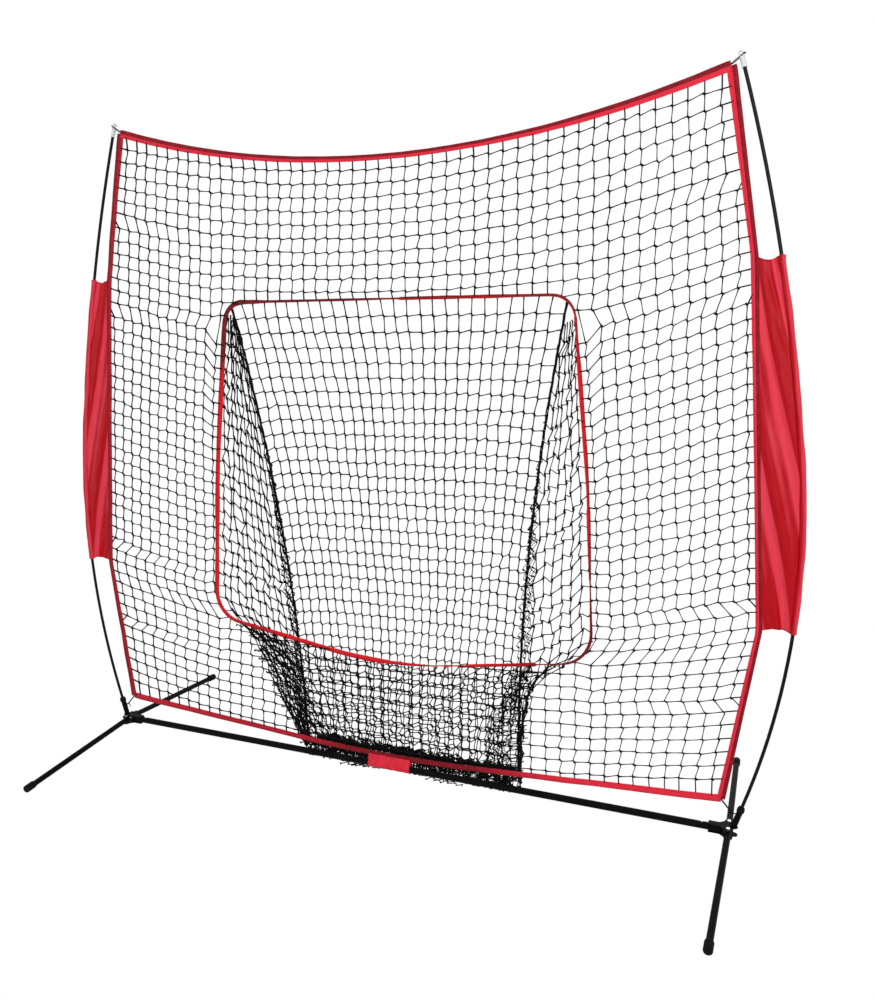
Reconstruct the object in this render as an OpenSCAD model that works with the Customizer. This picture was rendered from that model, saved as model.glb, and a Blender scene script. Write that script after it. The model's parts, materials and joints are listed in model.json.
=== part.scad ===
// Portable bow-frame practice net with a ball-catching pocket.
// X runs across the net, Y from the front to the back, Z up; the origin lies on
// the ground under the middle of the crossbar. All sizes are in millimetres.

/* [Base frame] */
// Distance between the leg pivots at the two ends of the crossbar
hub_spacing = 2208; // [2100:1:2320]
// Height of the crossbar's axis above the ground
bar_height = 43; // [41:0.5:52]
// Outer diameter of the crossbar tubes
bar_od = 22; // [20:0.5:25]
// Wall of the crossbar tubes
bar_wall = 1.5; // [1.2:0.1:2]
// Wall of the spigots that plug into the crossbar tubes
spigot_wall = 1.5; // [1.2:0.1:2]
// Length of the brackets' spigots
spigot_len = 95; // [80:1:130]
// Distance from the strap's edge to the snap button in the middle of the crossbar
button_clear = 28; // [16:1:40]
// Distance of a snap button from the end of the tube it locks
button_inset = 18; // [14:0.5:30]
// Diameter of the snap buttons
button_d = 6.4; // [5.6:0.1:7]
// Height of a snap button above the tube it locks
button_proud = 2.4; // [1.8:0.1:3]

/* [Legs and feet] */
// Outer diameter of the legs
leg_od = 19; // [17:0.5:20]
// Wall of the legs
leg_wall = 1.5; // [1.2:0.1:2.2]
// Distance from the net's plane to the end of a foot
leg_reach = 525; // [440:1:620]
// Angle by which the open legs point towards each other
leg_toe_in = 1; // [0:0.25:3]
// Length of a leg past its pivot bolt
leg_tail = 12; // [10:0.5:14]
// Outer diameter of the rubber foot caps
foot_od = 25; // [23:0.5:28]
// Length of a foot cap
foot_len = 38; // [30:1:50]
// Depth of the flat sole cut into each foot cap
sole_depth = 1.2; // [0.8:0.1:1.6]

/* [Hub brackets] */
// Thickness of a bracket's two plates and of its web
plate_t = 2.5; // [2:0.1:3.5]
// Distance from the pivots to the bracket's inner end
bracket_len = 58; // [50:1:70]
// Radius of the plates round a pivot bolt
plate_r = 13; // [11.5:0.5:15]
// Shank diameter of the pivot bolts
bolt_d = 6; // [5:0.5:7]

/* [Pole sockets] */
// Outer diameter of a pole socket
socket_od = 18; // [16:0.5:21]
// Length of a pole socket along its axis
socket_len = 62; // [52:1:75]
// Distance of a socket's foot outside the pivots
socket_out = 13.5; // [11:0.5:16]
// Outward lean of the sockets
socket_lean = 17.6; // [16:0.2:19]
// Outer diameter of the collar at the socket's mouth
collar_od = 22; // [20.5:0.5:25]
// Height of the collar
collar_h = 14; // [10:0.5:20]

/* [Bowed poles] */
// Diameter of the fibreglass poles
pole_d = 10; // [9:0.25:11]
// Bend radius of the lower pole
bow_lower_r = 2495; // [2300:5:2700]
// Angle over which the lower pole bends
bow_lower_angle = 25.1; // [23.5:0.1:26.5]
// Bend radius of the upper pole
bow_upper_r = 5630; // [5000:10:6400]
// Angle over which the upper pole bends
bow_upper_angle = 8.9; // [8:0.1:9.8]
// Backward lean of the poles and the net
back_lean = 1.8; // [0:0.1:3]
// Length of the ferrule that joins the two halves of a pole
ferrule_len = 120; // [90:2:150]
// Wall of the ferrule
ferrule_wall = 1.2; // [0.8:0.1:1.8]
// Outer diameter of the hooked cap on a pole's end
cap_od = 14; // [13:0.5:16]
// Length of the cap from its mouth to the foot of its hook
cap_len = 28; // [24:1:34]

/* [Net] */
// Width of the binding round the net's edge
binding_w = 18; // [14:1:22]
// Thickness of the folded binding
binding_t = 4; // [3:0.5:5]
// Rise of the top edge's corners above its middle
top_sag = 152; // [110:2:190]
// Gap between the crossbar and the middle of the net's lower edge
bottom_gap = 12; // [8:1:20]
// Height of the net's lower corners above the crossbar's axis
corner_rise = 85; // [75:1:100]
// Distance of the net's lower corners inside the pivots
corner_inset = 18; // [14:1:26]
// Pitch of the net's mesh as it is drawn here
mesh_pitch = 120; // [118:1:160]
// Thickness of the net's cords
cord_t = 3; // [2:0.25:4]

/* [Opening and pocket] */
// Width of the opening near its top
ring_top_w = 1196; // [1000:2:1260]
// Width of the opening near its bottom
ring_bottom_w = 1366; // [1160:2:1440]
// Height of the opening's upper edge
ring_top_z = 1602; // [1450:2:1700]
// Height of the opening's lower corners
ring_low_z = 500; // [440:2:600]
// Drop of the opening's lower edge below its corners
ring_sag = 104; // [60:2:130]
// Width of the opening's binding
ring_w = 14; // [10:1:20]
// Thickness of the opening's binding
ring_t = 5; // [4:0.5:7]
// Distance of the pocket's back from the net at the ground
pocket_depth = 160; // [130:2:240]
// Extra backward swell of the pocket's back at mid height
pocket_swell = 45; // [20:1:80]
// Width of the pocket at the ground
pocket_floor_w = 820; // [700:2:940]
// Thickness of the pocket's netting
pocket_t = 1.5; // [1:0.25:3]
// Number of mesh openings across the pocket's back, far fewer than the real net has
pocket_columns = 10; // [6:1:12]
// Number of mesh openings from the pocket's top to its foot
pocket_rows = 12; // [8:1:12]
// Diameter of the cords sewn along the pocket's back corners
seam_d = 8; // [6:0.5:10]

/* [Side panels] */
// Height of the side panels' upper edge
panel_top_z = 1690; // [1560:2:1780]
// Height of the side panels' lower edge
panel_low_z = 661; // [560:2:780]
// Distance from the pole to the net at a panel's upper edge
panel_top_w = 58; // [48:1:80]
// Distance from the pole to the net at a panel's lower edge
panel_low_w = 80; // [60:1:100]
// Inner diameter of the sleeve sewn along a panel's outer edge
sleeve_id = 16; // [14:0.5:20]
// Thickness of the panels' cloth
cloth_t = 1; // [0.6:0.1:1.6]
// Depth of the folds across a panel
fold_depth = 5; // [2:0.5:8]

/* [Straps and cords] */
// Width of the strap that ties the net to the crossbar
strap_w = 154; // [100:2:200]
// Thickness of the strap
strap_t = 1.6; // [1.2:0.1:2.4]
// Overlap of the strap on the net's binding
strap_lap = 14; // [8:1:16]
// Diameter of the elastic loops at the net's corners
loop_d = 3; // [2.4:0.1:3.4]
// Reach of an upper corner's loop from the pole's cap
loop_reach = 29.5; // [26:0.5:40]

/* [Hidden] */

$fn = 48;
fit = 0.05;                                     // radial clearance of a turning pin
slip = 0.2;                                     // radial clearance of a slip fit
gap = 0.3;                                      // clearance between soft parts
tiny = 0.01;
weld = 0.5;                                     // overlap of lengths that are one piece
seat_cut = 0.15;                                // the poles' seats are ground down by this

hub_x = hub_spacing / 2;
bar_r = bar_od / 2;
bar_bore_r = bar_r - bar_wall;
spigot_r = bar_bore_r - slip;
spigot_bore_r = spigot_r - spigot_wall;
button_r = button_d / 2;

leg_r = leg_od / 2;
fold_gap = 2;                                   // between a folded leg and the crossbar
pivot_y = bar_r + leg_r + fold_gap;
foot_r = foot_od / 2;
foot_axis_z = foot_r - sole_depth;              // height of the leg's axis at its tip
leg_run = leg_reach - pivot_y;
leg_drop = atan2(bar_height - foot_axis_z, leg_run);
leg_len = leg_run / cos(leg_drop);
foot_end = 5;                                   // rubber past the tube's end
leg_plug = 26;                                  // solid length of a leg round its pivot

plate_flare = 2 * plate_r;                      // reach inwards of the plates' flare from the pivots
slope_room = (leg_tail + plate_flare) * tan(leg_drop); // for a leg's slope, spread or folded
plate_gap = leg_od + 2 * gap + slope_room;      // clear height between the plates
plate_top = bar_height + plate_gap / 2 + plate_t;
web_x = hub_x - bracket_len;
bolt_r = bolt_d / 2;
head_r = bolt_r * 1.9;
head_h = bolt_r * 1.3;

bar_end = web_x - gap;
swage = 12;                                     // thick length where the bar narrows to its spigot

// The poles' centre line in the net's plane: a straight foot in the socket, a bend,
// a straight length in the ferrule, a flatter bend, and a straight end in the cap.
function ahead(p, a, l) = p + l * [sin(a), cos(a)];
function bend_centre(p, a, r) = p + r * [-cos(a), sin(a)];
function on_bend(c, a, r) = c + r * [cos(a), -sin(a)];
foot_p = [hub_x + socket_out, plate_top];
foot_a = socket_lean;
mouth_p = ahead(foot_p, foot_a, socket_len);
lower_c = bend_centre(mouth_p, foot_a, bow_lower_r);
ferrule_a = foot_a - bow_lower_angle;
ferrule_p = on_bend(lower_c, ferrule_a, bow_lower_r);
ferrule_q = ahead(ferrule_p, ferrule_a, ferrule_len);
upper_c = bend_centre(ferrule_q, ferrule_a, bow_upper_r);
tip_a = ferrule_a - bow_upper_angle;
tip_p = on_bend(upper_c, tip_a, bow_upper_r);
cap_p = ahead(tip_p, tip_a, cap_len);           // foot of the cap's hook

// Distance of the pole's centre line from the middle at a height z
function bend_x(c, r, z) = c[0] + sqrt(r * r - pow(z - c[1], 2));
function pole_x(z) =
    z < ferrule_p[1] ? bend_x(lower_c, bow_lower_r, z)
    : z > ferrule_q[1] ? bend_x(upper_c, bow_upper_r, z)
    : ferrule_p[0] + (z - ferrule_p[1]) * tan(ferrule_a);

// Cap and corner loops
pole_r = pole_d / 2;
seat_r = pole_r - seat_cut;
cap_r = cap_od / 2;
hook_t = 7;                                     // thickness of the cap's hook
hook_mouth = 6;
hook_bar = 4.5;                                 // width of the hook's post and beak
arch_r = cap_r + 0.5;
loop_r = loop_d / 2;
notch_z = hook_mouth / 2 + 4.5;
function cap_point(inward, up) = cap_p + inward * [-cos(tip_a), sin(tip_a)] + up * [sin(tip_a), cos(tip_a)];
post_mid = arch_r - 0.5 - hook_bar / 2;         // middle of the hook's post, off the cap's axis
upper_side = norm([hook_bar, hook_t]) / 2 + 2 * gap + loop_r;
post_p = cap_point(-(post_mid + upper_side), notch_z);
upper_eye = cap_point(loop_reach, -notch_z);

// Corners of the net's outline, right half, from the middle of the top edge down
top_c = upper_eye + [binding_w / 2, binding_w / 2];
panel_top_c = [pole_x(panel_top_z) - panel_top_w, panel_top_z];
panel_low_c = [pole_x(panel_low_z) - panel_low_w, panel_low_z];
low_c = [hub_x - corner_inset, bar_height + corner_rise];
low_mid_z = bar_height + bar_r + bottom_gap;
lower_eye = low_c + [-binding_w / 2, binding_w / 2];

// Rounded outlines: corner lists run anticlockwise, each corner with its radius
function unit(v) = v / norm(v);
function left_of(v) = [-v[1], v[0]];
function mirrored(p) = [-p[0], p[1]];
function wrap(a) = a > 180 ? a - 360 : a < -180 ? a + 360 : a;
function cross2(a, b) = a[0] * b[1] - a[1] * b[0];
function arc_points(c, r, a0, a1, n) =
    [for (i = [0:n]) let(a = a0 + (a1 - a0) * i / n) c + r * [cos(a), sin(a)]];
function corner_arc(a, p, b, r) =
    let(
        u = unit(a - p),
        v = unit(b - p),
        half = acos(max(-1, min(1, u * v))) / 2,
        c = p + unit(u + v) * r / sin(half),
        s = p + u * r / tan(half) - c,
        e = p + v * r / tan(half) - c,
        a0 = atan2(s[1], s[0]),
        turn = wrap(atan2(e[1], e[0]) - a0),
        n = max(2, ceil(abs(turn) / 9), ceil(abs(turn) * r / 5000))
    )
    arc_points(c, r, a0, a0 + turn, n);
function at(list, i) = list[(i + len(list)) % len(list)];
function rounded(corners, radii) =
    [for (i = [0:len(corners) - 1])
        each corner_arc(at(corners, i - 1), corners[i], at(corners, i + 1), radii[i])];

// The same corners moved inwards by d, and their radii changed to suit
function inset_corner(a, p, b, d) =
    let(
        u = unit(p - a),
        v = unit(b - p),
        m = left_of(u) + left_of(v)
    )
    p + d * m * 2 / (m * m);
function inset(corners, d) =
    [for (i = [0:len(corners) - 1])
        inset_corner(at(corners, i - 1), corners[i], at(corners, i + 1), d)];
function turns_left(corners, i) =
    cross2(corners[i] - at(corners, i - 1), at(corners, i + 1) - corners[i]) > 0;
function inset_radii(corners, radii, d) =
    [for (i = [0:len(corners) - 1]) turns_left(corners, i) ? max(2, radii[i] - d) : radii[i] + d];

// Radius at which an arc replaces the share of the shorter edge at a corner
function reach_radius(a, p, b, share) =
    let(half = acos(unit(a - p) * unit(b - p)) / 2)
    share * min(norm(a - p), norm(b - p)) * tan(half);

top_dip_c = [0, top_c[1] - 2 * top_sag];
low_dip_c = [0, low_mid_z - 6];
outline = [
    low_dip_c, low_c, panel_low_c, panel_top_c, top_c, top_dip_c,
    mirrored(top_c), mirrored(panel_top_c), mirrored(panel_low_c), mirrored(low_c)
];
top_r = reach_radius(top_c, top_dip_c, mirrored(top_c), 0.97);
low_r = reach_radius(low_c, low_dip_c, mirrored(low_c), 0.3);
outline_radii = [low_r, 4, 90, 300, 4, top_r, 4, 300, 90, 4];

ring_mid_z = (ring_top_z + ring_low_z) / 2;
ring_bulge = 14;                                // outward bow of the opening's sides
ring_mid_x = (ring_top_w + ring_bottom_w) / 4 + ring_bulge;
ring_low_c = [ring_bottom_w / 2, ring_low_z];
ring_side_c = [ring_mid_x, ring_mid_z];
ring_top_c = [ring_top_w / 2, ring_top_z];
ring_dip_c = [0, ring_low_z - ring_sag];
ring = [
    ring_dip_c, ring_low_c, ring_side_c, ring_top_c,
    mirrored(ring_top_c), mirrored(ring_side_c), mirrored(ring_low_c)
];
ring_top_r = 72;
ring_low_r = 105;
ring_radii = [1500, ring_low_r, 3000, ring_top_r, ring_top_r, 3000, ring_low_r];

// The four quarters of the net meet on lines from the opening's corners to the outline's
far = 3000;
corner_step = 60;                               // from the opening's corners to where they meet
mid_low = ring_low_c + [-corner_step, corner_step];
mid_top = ring_top_c - [corner_step, corner_step];
far_low = mid_low + far * unit(low_c - mid_low);
far_top = mid_top + far * unit(top_c - mid_top);
quarter_top = [mirrored(mid_top), mid_top, far_top, mirrored(far_top)];
quarter_low = [mid_low, mirrored(mid_low), mirrored(far_low), far_low];
quarter_right = [mid_low, far_low, far_top, mid_top];
cut = gap / 2;

// The back and the corner cords of the pocket, from the opening's top to the ground
seam_r = seam_d / 2;
corner_in = ring_top_r * (1 - cos(45));
pocket_top_z = ring_top_z - corner_in;
pocket_top_x = ring_top_w / 2 - corner_in;
pocket_low_x = pocket_floor_w / 2;
pocket_y0 = ring_t / 2 + gap + seam_r;
pocket_front_y = bar_r + strap_t + 8;
foot_swell = 12;                                // backward swell of the back at the ground
floor_z = 1;                                    // underside of the pocket's floor
edge_rise = 0.9;                                // most that the floor rises close to its edges
function on_floor(y) = floor_z + pocket_t + edge_rise + gap + y * sin(back_lean);
pocket_low_z = on_floor(pocket_depth + foot_swell + pocket_t);
function seam_z(v) = pocket_top_z + (pocket_low_z - pocket_top_z) * v;
function seam_x(v) = pocket_low_x + (pocket_top_x - pocket_low_x) * pow(1 - v, 2);
function seam_y(v) = pocket_y0 + (pocket_depth - pocket_y0) * pow(v, 0.9);
function swell_y(u, v) = (1 - u * u) * (pocket_swell * sin(180 * pow(v, 0.8)) + foot_swell * v);

module leaned() {
    translate([0, 0, bar_height])
        rotate([-back_lean, 0, 0])
            translate([0, 0, -bar_height])
                children();
}

module flat(t) {                                // a flat shape in the net's plane
    rotate([90, 0, 0])
        translate([0, 0, -t / 2])
            linear_extrude(t)
                children();
}

module left_side() {
    mirror([1, 0, 0])
        children();
}

// ---- Crossbar ----

module along_x(x) {
    translate([x, 0, bar_height])
        rotate([0, 90, 0])
            children();
}

module tube(od_r, id_r, l) {
    difference() {
        cylinder(h = l, r = od_r);
        translate([0, 0, -1])
            cylinder(h = l + 2, r = id_r);
    }
}

module button_hole(x, up) {
    translate([x, 0, bar_height])
        rotate([up ? 0 : 180, 0, 0])
            cylinder(h = bar_od, r = button_r + slip);
}

bar_button_x = strap_w / 2 + button_clear;
bar_spigot_len = bar_button_x + button_inset;
hub_button_x = bar_end - button_inset;

module crossbar_left() {
    color([0.05, 0.05, 0.055])
        difference() {
            union() {
                along_x(-bar_end)
                    tube(bar_r, bar_bore_r, bar_end - swage);
                along_x(0)
                    rotate_extrude()
                        polygon([
                            [spigot_bore_r, -swage], [bar_r, -swage], [bar_r, 0], [spigot_r, 0],
                            [spigot_r, bar_spigot_len - 2], [spigot_r - 1, bar_spigot_len],
                            [spigot_bore_r, bar_spigot_len]
                        ]);
            }
            button_hole(-hub_button_x, true);
            button_hole(bar_button_x, false);
        }
}

module crossbar_right() {
    color([0.05, 0.05, 0.055])
        difference() {
            along_x(gap)
                tube(bar_r, bar_bore_r, bar_end - gap);
            button_hole(hub_button_x, true);
            button_hole(bar_button_x, false);
        }
}

// Snap button: a domed stud on a flange that a folded leaf spring pushes outwards
flange_r = button_r + 1.2;
flange_h = 1.4;
flange_top = sqrt(pow(spigot_bore_r, 2) - pow(flange_r, 2)) - 0.15;
button_top = bar_r + button_proud;
spring_w = 6;
spring_t = 0.7;
spring_floor = sqrt(pow(spigot_bore_r, 2) - pow(spring_w / 2, 2)) - 0.15;
spring_run = 24;

module snap_button() {
    color([0.75, 0.76, 0.78])
        union() {
            intersection() {
                translate([0, 0, flange_top - tiny])
                    cylinder(h = button_top - flange_top + tiny, r = button_r);
                translate([0, 0, button_top - button_r * 1.5])
                    sphere(r = button_r * 1.5);
            }
            translate([0, 0, flange_top - flange_h])
                cylinder(h = flange_h, r = flange_r);
            translate([0, 0, flange_top - tiny])
                cylinder(h = button_top - button_r * 1.2 - flange_top, r = button_r);
        }
}

module leaf_spring() {
    top = flange_top - flange_h - 0.1;
    color([0.6, 0.62, 0.64])
        rotate([90, 0, 0])
            translate([0, 0, -spring_w / 2])
                linear_extrude(spring_w)
                    polygon([
                        [-spring_run, -spring_floor], [flange_r, -spring_floor],
                        [flange_r, -spring_floor + spring_t],
                        [-spring_run + 3 * spring_t, -spring_floor + spring_t],
                        [flange_r - 1, top - spring_t], [flange_r - 1, top],
                        [-spring_run, -spring_floor + 2 * spring_t]
                    ]);
}

module at_button(x, up) {
    translate([x, 0, bar_height])
        rotate([up ? 0 : 180, 0, 0])
            children();
}

// ---- Hub brackets ----

module plate_plan() {
    neck = bar_r;
    tongue_r = socket_od / 2 + 2.5;
    tongue_x = hub_x + socket_out + 1;
    flare_x = hub_x - plate_flare;
    polygon([
        [web_x, -neck], [flare_x, -neck], [hub_x - plate_r, -pivot_y],
        [hub_x - plate_r, pivot_y], [flare_x, neck], [web_x, neck]
    ]);
    translate([hub_x - plate_r, -pivot_y])
        square([2 * plate_r, 2 * pivot_y]);
    for (y = [-pivot_y, pivot_y])
        translate([hub_x, y])
            circle(plate_r);
    translate([hub_x, -tongue_r])
        square([tongue_x - hub_x, 2 * tongue_r]);
    translate([tongue_x, 0])
        circle(tongue_r);
}

module hub_bracket() {
    color([0.06, 0.06, 0.065])
        difference() {
            union() {
                for (z = [bar_height - plate_gap / 2 - plate_t, bar_height + plate_gap / 2])
                    translate([0, 0, z])
                        linear_extrude(plate_t)
                            plate_plan();
                translate([web_x, -bar_r, bar_height - plate_gap / 2 - plate_t])
                    cube([plate_t, bar_od, plate_gap + 2 * plate_t]);
                along_x(web_x - spigot_len)
                    tube(spigot_r, spigot_bore_r, spigot_len + tiny);
            }
            for (y = [-pivot_y, pivot_y])
                translate([hub_x, y, 0])
                    cylinder(h = 2 * plate_top, r = bolt_r + 2 * fit);
            button_hole(hub_button_x, true);
        }
}

module each_pivot() {
    for (x = [-hub_x, hub_x], y = [-pivot_y, pivot_y])
        translate([x, y, bar_height])
            children();
}

stack = plate_gap / 2 + plate_t;

module pivot_bolts() {
    color([0.72, 0.73, 0.75])
        each_pivot() {
            translate([0, 0, stack])
                cylinder(h = head_h, r = head_r, $fn = 6);
            translate([0, 0, -stack - head_h - 1.5])
                cylinder(h = 2 * stack + head_h + 1.5 + tiny, r = bolt_r);
        }
}

module pivot_nuts() {
    color([0.72, 0.73, 0.75])
        each_pivot()
            translate([0, 0, -stack - head_h])
                difference() {
                    cylinder(h = head_h, r = head_r, $fn = 6);
                    translate([0, 0, -1])
                        cylinder(h = head_h + 2, r = bolt_r + fit);
                }
}

// ---- Legs ----

// Places a part made along +Z from the pivot on the right-hand front leg
module on_leg() {
    translate([hub_x, -pivot_y, bar_height])
        rotate([0, 0, -leg_toe_in])
            rotate([90 + leg_drop, 0, 0])
                children();
}

module leg() {
    color([0.05, 0.05, 0.055])
        difference() {
            on_leg()
                difference() {
                    translate([0, 0, -leg_tail])
                        cylinder(h = leg_tail + leg_len - foot_end, r = leg_r);
                    translate([0, 0, leg_plug - leg_tail])
                        cylinder(h = leg_len, r = leg_r - leg_wall);
                }
            translate([hub_x, -pivot_y, 0])
                cylinder(h = 2 * bar_height, r = bolt_r + fit);
        }
}

module foot() {
    nose = 5;
    color([0.08, 0.08, 0.085])
        difference() {
            on_leg()
                rotate_extrude()
                    polygon(concat(
                        [[0, leg_len - foot_end + 0.1], [leg_r + 0.1, leg_len - foot_end + 0.1],
                         [leg_r + 0.1, leg_len - foot_len], [foot_r - 1.5, leg_len - foot_len],
                         [foot_r, leg_len - foot_len + 4]],
                        arc_points([foot_r - nose, leg_len - nose], nose, 0, 90, 8),
                        [[0, leg_len]]
                    ));
            translate([-2 * hub_x, -2 * leg_reach, -50])
                cube([4 * hub_x, 4 * leg_reach, 50]);
        }
}

module rear() {
    mirror([0, 1, 0])
        children();
}

// ---- Pole sockets, hooks and poles ----

module on_pole(p, a) {                          // +Z along the pole, +X outwards
    leaned()
        translate([p[0], 0, p[1]])
            rotate([0, a, 0])
                children();
}

module pole_socket() {
    color([0.05, 0.05, 0.055])
        difference() {
            on_pole(foot_p, foot_a)
                difference() {
                    translate([0, 0, -socket_od])
                        cylinder(h = socket_len + socket_od, r = socket_od / 2);
                    translate([0, 0, -2 * socket_od])
                        cylinder(h = socket_len + 4 * socket_od, r = pole_r + slip);
                }
            translate([0, -hub_x / 2, plate_top - 2 * socket_od])
                cube([2 * hub_x, hub_x, 2 * socket_od]);
        }
}

module socket_collar() {
    lip = 3;
    sr = socket_od / 2 + slip;
    cr = collar_od / 2;
    color([0.04, 0.04, 0.045])
        on_pole(mouth_p, foot_a)
            rotate_extrude()
                polygon([
                    [sr, lip - collar_h], [cr - 1, lip - collar_h], [cr, lip - collar_h + 1],
                    [cr, -1], [pole_r + 3.5, lip + 2], [pole_r + slip, lip + 2],
                    [pole_r + slip, 0.05], [sr, 0.05]
                ]);
}

// Wire hook on a socket's inner side that holds the net's lower corner
wire_r = 1.5;
wire_z = plate_top + socket_len * 0.66;
wire_drop = 6;
wire_bend = 4;
socket_face_x = foot_p[0] + (wire_z - plate_top) * tan(foot_a) - socket_od / 2 / cos(foot_a);
wire_end_x = socket_face_x - 19;
wire_foot = socket_face_x - gap;
loop_low = [(wire_end_x + wire_foot) / 2 + 2, wire_z - wire_r - gap - loop_r];

module corner_hook() {
    color([0.1, 0.1, 0.1])
        leaned()
            translate([0, 0, wire_z])
                difference() {
                    union() {
                        translate([wire_end_x + wire_bend, 0, 0])
                            rotate([0, 90, 0])
                                cylinder(h = wire_foot - wire_end_x - wire_bend + 3, r = wire_r, $fn = 24);
                        translate([wire_end_x + wire_bend, 0, -wire_bend])
                            rotate([90, 0, 0])
                                rotate([0, 0, 90])
                                    rotate_extrude(angle = 90, $fn = 48)
                                        translate([wire_bend, 0])
                                            circle(wire_r, $fn = 24);
                        translate([wire_end_x, 0, -wire_bend - wire_drop])
                            cylinder(h = wire_drop, r = wire_r, $fn = 24);
                    }
                    translate([0, 0, -wire_z])
                        translate([foot_p[0], 0, foot_p[1]])
                            rotate([0, foot_a, 0])
                                cylinder(h = socket_len, r = socket_od / 2 + gap);
                }
}

// A bend about c of the section below it, from lean a0 down to lean a1
module bent(c, r, a0, a1) {
    translate([c[0], 0, c[1]])
        rotate([90, 0, 0])
            rotate([0, 0, -a0])
                rotate_extrude(angle = a0 - a1, $fn = 360)
                    translate([r, 0])
                        children();
}

pole_seat = 2.5;                                // the pole's foot above the bracket

module pole_lower() {
    color([0.07, 0.07, 0.08])
        union() {
            on_pole(foot_p, foot_a)
                translate([0, 0, pole_seat])
                    cylinder(h = socket_len - pole_seat + weld, r = seat_r);
            leaned()
                bent(lower_c, bow_lower_r, foot_a, ferrule_a)
                    circle(pole_r);
            on_pole(ferrule_p, ferrule_a)
                translate([0, 0, -weld])
                    cylinder(h = ferrule_len / 2 - gap + weld, r = seat_r);
        }
}

module pole_upper() {
    color([0.07, 0.07, 0.08])
        union() {
            on_pole(ferrule_p, ferrule_a)
                translate([0, 0, ferrule_len / 2 + gap])
                    cylinder(h = ferrule_len / 2 - gap + weld, r = seat_r);
            leaned()
                bent(upper_c, bow_upper_r, ferrule_a, tip_a)
                    circle(pole_r);
            on_pole(tip_p, tip_a)
                translate([0, 0, -weld])
                    cylinder(h = cap_len - 3 - gap + weld, r = seat_r);
        }
}

module pole_ferrule() {
    color([0.6, 0.61, 0.63])
        on_pole(ferrule_p, ferrule_a)
            tube(seat_r + fit + ferrule_wall, seat_r + fit, ferrule_len);
}

module pole_cap() {
    color([0.8, 0.79, 0.8])
        on_pole(cap_p, tip_a)
            union() {
                difference() {
                    translate([0, 0, -cap_len])
                        cylinder(h = cap_len, r = cap_r);
                    translate([0, 0, -cap_len - 1])
                        cylinder(h = cap_len - 2, r = seat_r + fit);
                }
                rotate([90, 0, 0])
                    translate([0, 0, -hook_t / 2])
                        linear_extrude(hook_t)
                            hook_side();
            }
}

module hook_side() {                            // the hook seen along Y, the net at -X
    arch_z = notch_z + 2.5;
    translate([arch_r - hook_bar - 0.5, -tiny])
        square([hook_bar, arch_z + tiny]);
    translate([-0.5, arch_z])
        intersection() {
            difference() {
                circle(arch_r);
                circle(arch_r - hook_bar);
            }
            translate([-arch_r, 0])
                square([2 * arch_r, arch_r]);
        }
    translate([-arch_r - 0.5, arch_z - 2.5])
        square([hook_bar, 2.5 + tiny]);
}

// ---- Elastic loops ----

// A closed cord in the plane through Y and the line from p to q, its ends round
// a centre line of radius side
module cord_loop(p, q, side) {
    a = atan2(q[0] - p[0], q[1] - p[1]);
    run = norm(q - p) - 2 * side;
    translate([p[0], 0, p[1]])
        rotate([0, a, 0])
            translate([0, 0, side]) {
                for (y = [-side, side])
                    translate([0, y, 0])
                        cylinder(h = run, r = loop_r, $fn = 24);
                rotate([0, -90, 0])
                    rotate([0, 0, 90])
                        rotate_extrude(angle = 180, $fn = 48)
                            translate([side, 0])
                                circle(loop_r, $fn = 24);
                translate([0, 0, run])
                    rotate([0, -90, 0])
                        rotate([0, 0, -90])
                            rotate_extrude(angle = 180, $fn = 48)
                                translate([side, 0])
                                    circle(loop_r, $fn = 24);
            }
}

lower_side = binding_t / 2 + loop_r + 1;

module upper_loop() {
    color([0.06, 0.06, 0.06])
        leaned()
            cord_loop(post_p, upper_eye, upper_side);
}

module lower_loop() {
    color([0.06, 0.06, 0.06])
        leaned()
            cord_loop(loop_low, lower_eye, lower_side);
}

// ---- Binding and net ----

module outline_shape(d) {
    polygon(rounded(inset(outline, d), inset_radii(outline, outline_radii, d)));
}

module ring_shape(d) {
    polygon(rounded(inset(ring, d), inset_radii(ring, ring_radii, d)));
}

module eyes() {
    for (s = [-1, 1], p = [upper_eye, lower_eye])
        translate([s * p[0], p[1]])
            circle(loop_r + 1, $fn = 24);
}

module quarter(name) {
    shift = name == "top" ? [0, cut] : name == "bottom" ? [0, -cut] : [cut, 0];
    if (name == "left")
        mirror([1, 0])
            translate(shift)
                polygon(quarter_right);
    else
        translate(shift)
            polygon(name == "top" ? quarter_top : name == "bottom" ? quarter_low : quarter_right);
}

module binding(name) {
    color([0.74, 0.1, 0.16])
        leaned()
            flat(binding_t)
                intersection() {
                    difference() {
                        outline_shape(0);
                        outline_shape(binding_w);
                        eyes();
                    }
                    quarter(name);
                }
}

module opening_binding() {
    color([0.78, 0.09, 0.14])
        leaned()
            flat(ring_t)
                difference() {
                    ring_shape(-ring_w / 2);
                    ring_shape(ring_w / 2);
                }
}

module strands() {
    columns = floor(pole_x(panel_low_z) / mesh_pitch);
    rows = floor(top_c[1] / mesh_pitch);
    for (i = [-columns:columns])
        translate([i * mesh_pitch - cord_t / 2, 0])
            square([cord_t, far]);
    for (j = [1:rows])
        translate([-far / 2, low_mid_z + (j - 0.3) * mesh_pitch - cord_t / 2])
            square([far, cord_t]);
}

module net(name) {
    color([0.05, 0.05, 0.05])
        leaned()
            flat(cord_t)
                intersection() {
                    strands();
                    difference() {
                        outline_shape(binding_w + gap);
                        ring_shape(-ring_w / 2 - gap);
                    }
                    quarter(name);
                }
}

// ---- Thin curved sheets ----

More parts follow.
